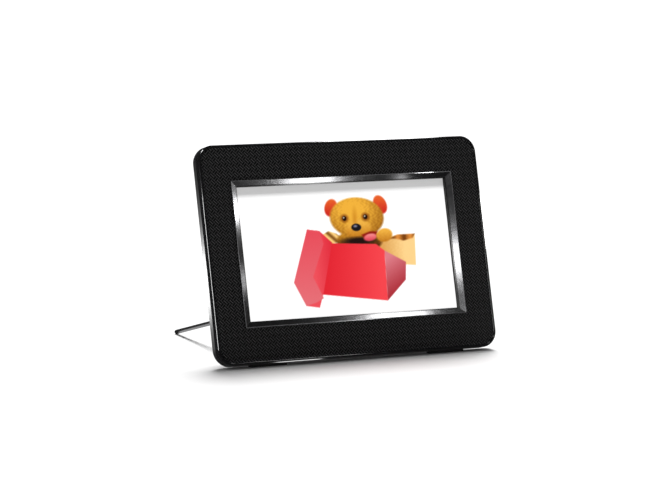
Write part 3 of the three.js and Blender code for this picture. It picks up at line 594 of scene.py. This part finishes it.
def crossed_relief(x, y):
    """0 to 1: cosine ridges across p where cos(2 pi p / repeat) cos(2 pi q / repeat) > 0, else across q."""
    p, q = (x + y) / np.sqrt(2), (x - y) / np.sqrt(2)
    squares = np.clip(0.5 + 2 * np.cos(2 * np.pi * p / REPEAT) * np.cos(2 * np.pi * q / REPEAT), 0, 1)
    one_way, other_way = (0.5 + 0.5 * np.cos(2 * np.pi * t / RIDGE) for t in (p, q))
    return one_way * squares + OTHER_WAY_HEIGHT * other_way * (1 - squares)


def stepped(edges, pitch):
    """Grid lines through all the given edges, about pitch apart between them."""
    parts = []
    for low, high in zip(edges[:-1], edges[1:]):
        count = max(1, round((high - low) / pitch))
        parts.append(np.linspace(low, high, count, endpoint=False))
    return np.append(np.concatenate(parts), edges[-1])


def rounded_corners(x, y, half_x, half_y, radius):
    """Bends the corner squares into quarter discs: a sqrt(1 - b^2 / 2), b sqrt(1 - a^2 / 2)."""
    a = np.clip((np.abs(x) - (half_x - radius)) / radius, 0, 1)
    b = np.clip((np.abs(y) - (half_y - radius)) / radius, 0, 1)
    inside = (a > 0) & (b > 0)
    bent_x = np.sign(x) * (half_x - radius + radius * a * np.sqrt(1 - b * b / 2))
    bent_y = np.sign(y) * (half_y - radius + radius * b * np.sqrt(1 - a * a / 2))
    return np.where(inside, bent_x, x), np.where(inside, bent_y, y)


half_x = FRAME_WIDTH / 2 - PANEL_INSET
half_y = FRAME_HEIGHT / 2 - PANEL_INSET
radius = CORNER - PANEL_INSET
lines_x = stepped([-half_x, -OPENING_X, OPENING_X, half_x], PANEL_PITCH)
lines_y = stepped([-half_y, -OPENING_Y, OPENING_Y, half_y], PANEL_PITCH)
grid_x, grid_y = np.meshgrid(lines_x, lines_y, indexing="ij")
face_quads = quads(len(lines_x), len(lines_y))
centre_x = grid_x.ravel()[face_quads].mean(1)
centre_y = grid_y.ravel()[face_quads].mean(1)
outside_opening = (np.abs(centre_x) > OPENING_X) | (np.abs(centre_y) > OPENING_Y)
face_quads = face_quads[outside_opening]
x, y = rounded_corners(grid_x.ravel(), grid_y.ravel(), half_x, half_y, radius)
edge_gap = np.minimum.reduce([half_x - np.abs(grid_x.ravel()), half_y - np.abs(grid_y.ravel())])
to_opening = np.maximum(np.abs(grid_x.ravel()) - OPENING_X, np.abs(grid_y.ravel()) - OPENING_Y)
fade = np.clip(np.minimum(edge_gap, to_opening) / FADE_WIDTH, 0, 1)
z = PANEL_FRONT - RELIEF * (1 - crossed_relief(x, y)) * fade
used = np.unique(face_quads)
renumber = np.zeros(x.size, int)
renumber[used] = np.arange(used.size)
panel_points = np.stack([x, y + MIDDLE, z], -1)[used]
panel_faces = renumber[face_quads]


def closed_slab(mesh, back_z):
    """Drops the face's edges back to a plane and closes it there, so the piece is one solid body."""
    work = bmesh.new()
    work.from_mesh(mesh)
    rim_edges = [edge for edge in work.edges if edge.is_boundary]
    grown = bmesh.ops.extrude_edge_only(work, edges=rim_edges)["geom"]
    normal = Vector(OUT)
    for vert in (part for part in grown if isinstance(part, bmesh.types.BMVert)):
        depth = (vert.co - ZERO).dot(normal) / MM
        vert.co += normal * (back_z - depth) * MM
    ends = [part for part in grown if isinstance(part, bmesh.types.BMEdge)]
    bmesh.ops.triangle_fill(work, edges=ends, use_beauty=False)
    work.to_mesh(mesh)
    work.free()


panel_mesh = make_mesh("textured_panel", panel_points, panel_faces)
uv = panel_mesh.uv_layers.new(name="front_mm")
loop_verts = np.zeros(len(panel_mesh.loops), int)
panel_mesh.loops.foreach_get("vertex_index", loop_verts)
uv.data.foreach_set("uv", (panel_points[loop_verts][:, :2] / 100).ravel().astype(np.float32))
closed_slab(panel_mesh, PANEL_BACK)
print("panel grid", len(lines_x), "x", len(lines_y))

# %% [markdown]
# The panel's finish repeats the ridges as a mask, in the same millimetres: a ridge's crest is a little
# smoother than the valley, and its colour is a painted highlight, pale on the crest, over painted shade,
# near black, in the valley. The face's own millimetres are in its UV map, a hundredth as large, so
# the mask is worked out from those and stays on the ridges.

# %% Panel finish
# Painted shade for the valleys and a painted highlight for the crests; only the ridges' shape is real.
VALLEY_PAINTED_SHADE, CREST_PAINTED_HIGHLIGHT = (0.0006, 0.0006, 0.0007), (0.15, 0.15, 0.153)
OTHER_WAY_SHINE = 0.6
CREST_START = 0.6
SQUARE_EDGE = 0.25
woven, tree, shader = start_material("crossed_relief_black")
across = add(tree, "SeparateXYZ", {"Vector": add(tree, "UVMap", uv_map="front_mm").outputs[0]})
u_mm = maths(tree, "MULTIPLY", across.outputs["X"], 100.0)
v_mm = maths(tree, "ADD", maths(tree, "MULTIPLY", across.outputs["Y"], 100.0), -MIDDLE)
crests, swings = [], []
for operation in ("ADD", "SUBTRACT"):
    t = maths(tree, "MULTIPLY", maths(tree, operation, u_mm, v_mm), 2 * math.pi / math.sqrt(2))
    ridge = maths(tree, "COSINE", maths(tree, "DIVIDE", t, RIDGE))
    swings.append(maths(tree, "COSINE", maths(tree, "DIVIDE", t, REPEAT)))
    crests.append(mask_range(tree, ridge, CREST_START, 1.0))
squares = mask_range(tree, maths(tree, "MULTIPLY", *swings), -SQUARE_EDGE, SQUARE_EDGE)
one_way = maths(tree, "MULTIPLY", crests[0], squares)
other_way = maths(tree, "MULTIPLY", crests[1], maths(tree, "SUBTRACT", 1.0, squares))
crest_highlight_and_polish = maths(tree, "ADD", one_way, maths(tree, "MULTIPLY", other_way, OTHER_WAY_SHINE))
place = object_place(tree)
grain = use_group(tree, grain_tree, {"Vector": place, "Scale": 2400.0})
# The crest mask, broken up by the grain, paints the highlight on the crests over the painted shade in the valleys.
patchy = maths(tree, "MULTIPLY", crest_highlight_and_polish, spread(tree, grain.outputs["Height"], 0.4, 1.6))
tree.links.new(colour_mix(tree, patchy, VALLEY_PAINTED_SHADE, CREST_PAINTED_HIGHLIGHT), shader.inputs["Base Color"])
tree.links.new(spread(tree, crest_highlight_and_polish, 0.55, 0.35), shader.inputs["Roughness"])
tree.links.new(bump(tree, grain.outputs["Height"], 0.012 * MM), shader.inputs["Normal"])
shader.inputs["Specular IOR Level"].default_value = 0.25
panel_face = settle("textured_panel_face", panel_mesh, woven, "frame",
                    ["textured_panel"], sharp=50)
only["panel"].objects.link(panel_face)

# %% [markdown]
# ## The bevelled trim
#
# Four mitred strips of dark brushed metal frame the display, each falling from a thin flat lip down to
# the picture. The bevel is wider at the sides than above and below, so the section is written with a
# share from 0 at the opening to 1 at the outside. Each corner's points are shared by two strips, which
# makes the mitre exact. A narrow black lacquered band, next to the opening, sets the picture off.

# %% Trim
TRIM_PROUD = 0.2
TRIM_LIP = 0.5
BEVEL_DEPTH = 2.1
TRIM_BACK = -2.5
LIP = TRIM_LIP / TRIM_SIDE
EASE = 0.02

trim_profile = np.array([
    [0.0, TRIM_BACK],
    [0.0, TRIM_PROUD - BEVEL_DEPTH],
    [1 - LIP, TRIM_PROUD],
    [1 - EASE, TRIM_PROUD],
    [1.0, TRIM_PROUD - 0.1],
    [1.0, TRIM_BACK],
])
strip_steps = 40


def trim_strip(first, second):
    """Points between two mitred corners: corner (half + share x width), straight from one to the other."""
    share = trim_profile[:, 0]
    reach_x, reach_y = SCREEN_WIDTH / 2 + share * TRIM_SIDE, SCREEN_HEIGHT / 2 + share * TRIM_END
    ends = [np.stack([sx * reach_x, sy * reach_y], -1) for sx, sy in (first, second)]
    t = np.linspace(0, 1, strip_steps + 1)[:, None, None]
    flat = ends[0] * (1 - t) + ends[1] * t
    height = np.broadcast_to(trim_profile[:, 1], flat.shape[:2])[..., None]
    return np.concatenate([flat + [0, MIDDLE], height], -1).reshape(-1, 3)


corners = [(-1, -1), (1, -1), (1, 1), (-1, 1)]
trim_points, trim_faces, along, across_share = [], [], [], []
for i, first in enumerate(corners):
    points = trim_strip(first, corners[(i + 1) % 4])
    faces = quads(strip_steps + 1, len(trim_profile), close_columns=True, start=i * len(points))
    length = SCREEN_WIDTH if i % 2 == 0 else SCREEN_HEIGHT
    trim_points.append(points)
    trim_faces.append(faces)
    along.append(np.repeat(np.linspace(0, length, strip_steps + 1) / 100 + 2 * i, len(trim_profile)))
    across_share.append(np.tile(trim_profile[:, 0] * TRIM_SIDE / 100, strip_steps + 1))
trim_points = np.concatenate(trim_points)
trim_uv = np.stack([np.concatenate(along), np.concatenate(across_share)], -1)
trim_mesh = make_mesh("bevel_trim", trim_points, np.concatenate(trim_faces))
trim_loops = np.zeros(len(trim_mesh.loops), int)
trim_mesh.loops.foreach_get("vertex_index", trim_loops)
strip_uv = trim_mesh.uv_layers.new(name="strip_mm")
strip_uv.data.foreach_set("uv", trim_uv[trim_loops].ravel().astype(np.float32))

LACQUER = (0.003, 0.003, 0.003)
LACQUER_END, METAL_START = 0.75, 0.95
brushed, tree, shader = start_material("dark_brushed_bevel")
strip = add(tree, "UVMap", uv_map="strip_mm").outputs[0]
squeezed = add(tree, "Mapping", {"Vector": strip, "Scale": (1, 0.04, 1)}).outputs[0]
hair = use_group(tree, hair_tree, {"Vector": squeezed, "Fine": 260.0})
metal = colour_mix(tree, hair.outputs["Streak"], (0.09, 0.09, 0.092), (0.19, 0.19, 0.195))
share_mm = maths(tree, "MULTIPLY", add(tree, "SeparateXYZ", {"Vector": strip}).outputs["Y"], 100.0)
bare = mask_range(tree, share_mm, LACQUER_END, METAL_START)
tree.links.new(colour_mix(tree, bare, LACQUER, metal), shader.inputs["Base Color"])
tree.links.new(spread(tree, hair.outputs["Height"], 0.12, 0.26), shader.inputs["Roughness"])
tree.links.new(bump(tree, hair.outputs["Height"], 0.004 * MM), shader.inputs["Normal"])
tree.links.new(bare, shader.inputs["Metallic"])
bevel_trim = settle("bevel_trim", trim_mesh, brushed, "frame", ["screen_trim"], sharp=12)
only["trim"].objects.link(bevel_trim)

# %% [markdown]
# ## The picture on the display
#
# The display shows a toy bear in a red gift box on white. It could be a texture, but a picture file
# isn't needed: the shapes are simple. Each is a distance to an outline, in millimetres from the middle
# of the display, and a soft step turns that distance into an edge. The colours are painted in order,
# back to front, on the points of a fine grid. The shader lets the picture glow a little, as a backlit
# panel does, and reflect the rest.

# %% Painting with distances
def distance_to_polygon(x, y, outline):
    """Distance to the nearest side, negative inside; a point is inside if a ray crosses an odd number."""
    outline = np.array(outline, float)
    nearest = np.full(x.shape, np.inf)
    inside = np.zeros(x.shape, bool)
    for (ax, ay), (bx, by) in zip(outline, np.roll(outline, -1, 0)):
        ex, ey = bx - ax, by - ay
        t = np.clip(((x - ax) * ex + (y - ay) * ey) / (ex * ex + ey * ey), 0, 1)
        nearest = np.minimum(nearest, np.hypot(x - ax - t * ex, y - ay - t * ey))
        crosses = (ay > y) != (by > y)
        level = ax + (y - ay) * ex / (ey if ey else 1e-9)
        inside ^= crosses & (x < level)
    return np.where(inside, -nearest, nearest)


def distance_to_oval(x, y, centre, half, turn=0.0):
    """(length of the scaled offset - 1) x the smaller half-size, turned by an angle in degrees."""
    c, s = math.cos(math.radians(turn)), math.sin(math.radians(turn))
    dx, dy = x - centre[0], y - centre[1]
    along, across = (dx * c + dy * s) / half[0], (dy * c - dx * s) / half[1]
    return (np.hypot(along, across) - 1) * min(half)


def paint(canvas, distance, colour, softness=0.5):
    """Lays a colour over the canvas where the distance is negative."""
    cover = np.clip(0.5 - distance / softness, 0, 1)[:, None]
    return canvas * (1 - cover) + np.asarray(colour, float) * cover


def shade(low, high, amount):
    """A colour per point, from low to high by an amount from 0 to 1."""
    amount = np.clip(amount, 0, 1)[:, None]
    return np.asarray(low, float) * (1 - amount) + np.asarray(high, float) * amount


def ripple(x, y, size):
    """A soft fur-like pattern from -1 to 1: products of sines whose directions don't repeat."""
    x, y = x / size, y / size
    a = np.sin(x * 2.1 + 1.7 * np.sin(y * 1.3)) * np.sin(y * 1.9 + 0.8 * np.sin(x * 1.1))
    b = np.sin(x * 5.3 + y * 2.9) * np.sin(y * 4.7 - x * 3.1)
    return 0.6 * a + 0.4 * b


# %% Outlines in the picture
PAPER = [(21, 2), (30, 5.6), (38, 7.6), (51, 7.4), (49.4, -13.4), (42, -12.6), (27, -4.4)]
PAPER_FOLD = [(31, 5.0), (38, 7.4), (51, 7.4), (49, 4.6), (42, 3.2), (36, 4.8)]
LEFT_PAPER = [(-19.3, 9.2), (-13, 12.2), (-7.4, 10.2), (-1.5, 5.8), (-11.4, 3.6)]
MOUTH = [(11, 8.6), (17.8, 10.6), (23.4, 10.2), (20, 5.2), (13.6, 5.4)]
BOX_FRONT = [(-13.2, 4.2), (21.1, 2.0), (27, -2.6), (25.4, -35.5), (-22.6, -28.8)]
BOX_SIDE = [(27, -2.6), (42.1, -10.8), (40.5, -22.5), (25.4, -35.5)]
LID = [(-28.6, 13.9), (-19.6, 12.5), (-11.3, 4.6), (-21.1, -26.9), (-25.3, -37.2),
       (-34.9, -35.5), (-42.1, -20)]
LID_TOP = [(-28.6, 13.9), (-19.6, 12.5), (-17.6, 4.0), (-27.8, -17), (-21.6, -31.2), (-27, -33.6),
           (-34.9, -35.5), (-42.1, -20)]
EARS = [((-9.4, 27.2), (4.6, 6.0), -28), ((27.4, 27.8), (4.8, 6.4), 24)]
EYES = [(-0.3, 19.8), (15.4, 20.2)]
print("corners of the lid:", len(LID), "ears:", len(EARS), "eyes:", len(EYES))

# %% The bear in its box
def picture(x, y):
    """The picture's colours at x, y, in millimetres from the middle of the display."""
    fur = ripple(x, y, 1.2)
    canvas = np.ones((x.size, 3))

    def lay_outline(outline, colour, softness=0.5):
        """Paints the inside of an outline."""
        nonlocal canvas
        canvas = paint(canvas, distance_to_polygon(x, y, outline), colour, softness)

    def lay_oval(centre, half, colour, softness=0.5, turn=0.0):
        """Paints an oval, turned by an angle in degrees."""
        nonlocal canvas
        canvas = paint(canvas, distance_to_oval(x, y, centre, half, turn), colour, softness)

    lay_outline(PAPER, shade((0.84, 0.62, 0.33), (0.96, 0.80, 0.53), (x - 26) / 16 + 0.12 * fur))
    crumple = 0.5 + 0.5 * np.sin(x * 0.7) + 0.2 * fur
    lay_outline(PAPER_FOLD, shade((0.46, 0.24, 0.06), (0.84, 0.53, 0.22), crumple), 1.0)
    wave = 0.55 + 0.45 * np.sin(x * 0.9 + y)
    lay_outline(LEFT_PAPER, shade((0.45, 0.27, 0.08), (0.97, 0.80, 0.48), wave), 0.8)
    chest_fur = shade((0.30, 0.15, 0.04), (0.80, 0.55, 0.14), (y - 1) / 9 + 0.15 * fur)
    lay_oval((9, 4.5), (17, 8), chest_fur, 1.2)
    ear_fur = shade((0.78, 0.16, 0.12), (0.87, 0.36, 0.15), (y - 23) / 9 + 0.1 * fur)
    for centre, half, turn in EARS:
        lay_oval(centre, half, ear_fur, 0.9, turn)

    round_light = 1 - np.hypot((x - 6) / 22, (y - 25) / 17)
    head_fur = shade((0.52, 0.30, 0.05), (0.91, 0.67, 0.22), 0.42 + 0.95 * round_light + 0.24 * fur)
    lay_oval((9, 20), (20, 13.3), head_fur, 1.2, turn=-2)
    muzzle_fur = shade((0.74, 0.46, 0.10), (0.90, 0.67, 0.26), (y - 7) / 9 + 0.12 * fur)
    lay_oval((9.5, 12.4), (9.4, 6.2), muzzle_fur, 2.4)
    lay_oval((7.4, 19.6), (1.4, 5.0), (0.80, 0.54, 0.14), 2.6, turn=-4)
    for eye in EYES:
        lay_oval(eye, (2.7, 2.5), (0.50, 0.27, 0.06), 2.2)
        lay_oval(eye, (1.5, 1.6), (0.10, 0.05, 0.03))
        lay_oval((eye[0] - 0.5, eye[1] + 0.5), (0.5, 0.5), (0.85, 0.80, 0.7))
    lay_oval((7.8, 13.6), (3.7, 2.5), (0.10, 0.09, 0.11))
    lay_oval((7.2, 14.4), (1.3, 0.7), (0.50, 0.50, 0.58), 0.8)
    lay_oval((9.0, 4.6), (11.5, 2.6), (0.13, 0.07, 0.06), 2.2)
    lay_outline(MOUTH, (0.55, 0.10, 0.06), 1.0)
    tongue = shade((0.84, 0.28, 0.34), (0.95, 0.56, 0.56), (y - 5) / 4)
    lay_oval((17.4, 6.6), (4.8, 2.3), tongue, 0.8, turn=8)
    paw_fur = shade((0.74, 0.47, 0.12), (0.91, 0.67, 0.25), (y - 3.5) / 7 + 0.15 * fur)
    lay_oval((28.2, 7.6), (6.0, 4.4), paw_fur, 1.0, turn=10)

    front_light = (x + 16) / 44 + 0.004 * (10 - y)
    lay_outline(BOX_FRONT, shade((0.85, 0.13, 0.18), (0.93, 0.26, 0.29), front_light))
    side_light = (x - 27) / 15 * 0.35 + (-8 - y) / 24
    lay_outline(BOX_SIDE, shade((0.84, 0.48, 0.52), (0.66, 0.19, 0.23), side_light))
    lay_outline(LID, shade((0.90, 0.30, 0.34), (0.85, 0.17, 0.23), (x + 26) / 14))
    lay_outline(LID_TOP, shade((0.87, 0.42, 0.45), (0.87, 0.29, 0.34), (y + 34) / 46))
    return canvas


# %% Display
GLASS_X, GLASS_Y = SCREEN_WIDTH / 2 + 4, SCREEN_HEIGHT / 2 + 4
GLASS_FRONT, GLASS_BACK = -3.6, -4.8
LIT_X, LIT_Y = SCREEN_WIDTH / 2 - 0.15, SCREEN_HEIGHT / 2 - 0.1
LIT_EDGE, GLASS_PITCH, UNLIT = 0.04, 0.46, 0.012
lines_x = stepped([-GLASS_X, -LIT_X - LIT_EDGE, -LIT_X, LIT_X, LIT_X + LIT_EDGE, GLASS_X], GLASS_PITCH)
lines_y = stepped([-GLASS_Y, -LIT_Y - LIT_EDGE, -LIT_Y, LIT_Y, LIT_Y + LIT_EDGE, GLASS_Y], GLASS_PITCH)
grid_x, grid_y = (g.ravel() for g in np.meshgrid(lines_x, lines_y, indexing="ij"))
colours = picture(grid_x, grid_y)
lit = (np.abs(grid_x) < LIT_X + 0.01) & (np.abs(grid_y) < LIT_Y + 0.01)
colours = np.where(lit[:, None], colours, UNLIT)
linear = np.where(colours <= 0.04045, colours / 12.92, ((colours + 0.055) / 1.055) ** 2.4)
points = np.stack([grid_x, grid_y + MIDDLE, np.full(grid_x.shape, GLASS_FRONT)], -1)
display_mesh = make_mesh("display_face", points, quads(len(lines_x), len(lines_y)))
shown = display_mesh.color_attributes.new("picture", "FLOAT_COLOR", "POINT")
rgba = np.concatenate([linear, np.ones((len(linear), 1))], -1)
shown.data.foreach_set("color", rgba.ravel().astype(np.float32))
closed_slab(display_mesh, GLASS_BACK)

GLOW = 0.30
REFLECTED = 0.45
backlit, tree, shader = start_material("backlit_picture")
image = add(tree, "Attribute", attribute_name="picture").outputs["Color"]
place = object_place(tree)
film = use_group(tree, grain_tree, {"Vector": place, "Scale": 3000.0})
tree.links.new(colour_mix(tree, REFLECTED, (0, 0, 0), image), shader.inputs["Base Color"])
tree.links.new(image, shader.inputs["Emission Color"])
tree.links.new(spread(tree, film.outputs["Height"], 0.14, 0.22), shader.inputs["Roughness"])
shader.inputs["Emission Strength"].default_value = GLOW
shader.inputs["Specular IOR Level"].default_value = 0.3
display = settle("display_face", display_mesh, backlit, "frame", ["lcd_glass"])
only["display"].objects.link(display)

# %% [markdown]
# ## The stand
#
# The stand is a plated rod, 3 mm thick, held in a black-coated knuckle and ending in a rubber tip. All
# three are turned; the rod and the tip are made here as profiles spun round the rod's axis, and the
# knuckle is a softened CAD copy further down. They ride on the stand's body and fold with it.

# %% Turned pieces
def turned(profile, centre, steps=32):
    """Profile points (radius, z) spun round a line along z: centre + radius (cos a, sin a)."""
    profile = np.array(profile, float)
    a = np.linspace(0, 2 * np.pi, steps, endpoint=False)[:, None]
    points = np.stack([
        centre[0] + profile[:, 0] * np.cos(a),
        centre[1] + profile[:, 0] * np.sin(a),
        np.broadcast_to(profile[:, 1], (steps, len(profile))),
    ], -1).reshape(-1, 3)
    return points, quads(steps, len(profile), close_rows=True)


ROD = 1.5
ROD_START = -22.2
TIP_END = -129.4
TIP_START = TIP_END - ROD + 6.0
rod_profile = [(0, ROD_START), (ROD - 0.25, ROD_START), (ROD, ROD_START - 0.25),
               *[(ROD, z) for z in np.linspace(-30, TIP_START + 0.5, 12)],
               (ROD - 0.2, TIP_START + 0.15), (0.9, TIP_START + 0.1), (0, TIP_START + 0.1)]
chrome, tree, shader = start_material("plated_rod")
place = object_place(tree)
drawn = add(tree, "Mapping", {"Vector": place, "Scale": (1, 0.03, 1)}).outputs[0]
hair = use_group(tree, hair_tree, {"Vector": drawn, "Fine": 2400.0})
plating = colour_mix(tree, hair.outputs["Streak"], (0.52, 0.52, 0.53), (0.74, 0.74, 0.75))
tree.links.new(plating, shader.inputs["Base Color"])
tree.links.new(spread(tree, hair.outputs["Height"], 0.18, 0.30), shader.inputs["Roughness"])
tree.links.new(bump(tree, hair.outputs["Height"], 0.001 * MM), shader.inputs["Normal"])
shader.inputs["Metallic"].default_value = 1.0
plated_rod = settle("plated_rod", make_mesh("plated_rod", *turned(rod_profile, HINGE[:2])), chrome,
                    "stand", ["stand_rod"])
only["rod"].objects.link(plated_rod)

grooves = [(ROD - 0.14 * (k % 2), z) for k, z in enumerate(np.linspace(TIP_START - 0.9, TIP_END + 1.4, 9))]
tip_profile = [(0, TIP_START), (ROD - 0.3, TIP_START), (ROD, TIP_START - 0.3), *grooves,
               *[(ROD * math.cos(a), TIP_END - ROD * math.sin(a)) for a in np.linspace(0, math.pi / 2, 9)]]
tip_profile[-1] = (0.0, TIP_END - ROD)
settle("rubber_tip", make_mesh("rubber_tip", *turned(tip_profile, HINGE[:2])), FINISHES["rubber_black"],
       "stand", ["rod_tip"], sharp=60)

# %% [markdown]
# ## Mouldings with softened edges
#
# The rear cover, the knuckle, the switch, the buttons and the pads already have the right shape, but
# their CAD surfaces are loose triangles with knife edges. A copy is merged, its flat triangles are
# joined into clean faces, and a Bevel modifier rounds what is still sharp, as a mould would. The rear
# cover is merged and joined in the same way, but gets no more rounding.

# %% Softened copies
FLAT_WITHIN = math.radians(1.0)
SHARP_FROM = math.radians(28.0)


def softened(node, name, body, slot, width):
    """A merged copy of a CAD node with its sharp edges rounded by width, in millimetres."""
    mesh = nodes[node].data.copy()
    mesh.name = name
    work = bmesh.new()
    work.from_mesh(mesh)
    bmesh.ops.remove_doubles(work, verts=work.verts, dist=0.004 * MM)
    bmesh.ops.dissolve_limit(work, angle_limit=FLAT_WITHIN, verts=work.verts, edges=work.edges)
    work.to_mesh(mesh)
    work.free()
    piece = bpy.data.objects.new(name, mesh)
    scene.collection.objects.link(piece)
    if width:
        rounding = piece.modifiers.new("rounding", "BEVEL")
        rounding.width = width * MM
        rounding.segments = 2
        rounding.limit_method = "ANGLE"
        rounding.angle_limit = SHARP_FROM
        rounding.use_clamp_overlap = True
        mesh = bpy.data.meshes.new_from_object(piece.evaluated_get(bpy.context.evaluated_depsgraph_get()))
        mesh.name = name
    bpy.data.objects.remove(piece)
    return settle(name, mesh, FINISHES[slot], body, [node], sharp=30.0, merge=0.001)


cover = softened("rear_cover", "rear_cover_moulding", "frame", "cover_plastic", 0.0)
only["cover"].objects.link(cover)
softened("stand_knuckle", "knuckle_casting", "stand", "knuckle_black", 0.15)
softened("power_switch_slider", "power_slider_knob", "power_slider", "button_plastic", 0.15)
for side in ("left", "right"):
    softened(f"foot_pad_{side}", f"rubber_pad_{side}", "frame", "rubber_black", 0.2)
for name in ("menu", "previous", "play", "next", "exit"):
    softened(f"button_{name}", f"{name}_key", f"{name}_button", "button_plastic", 0.1)
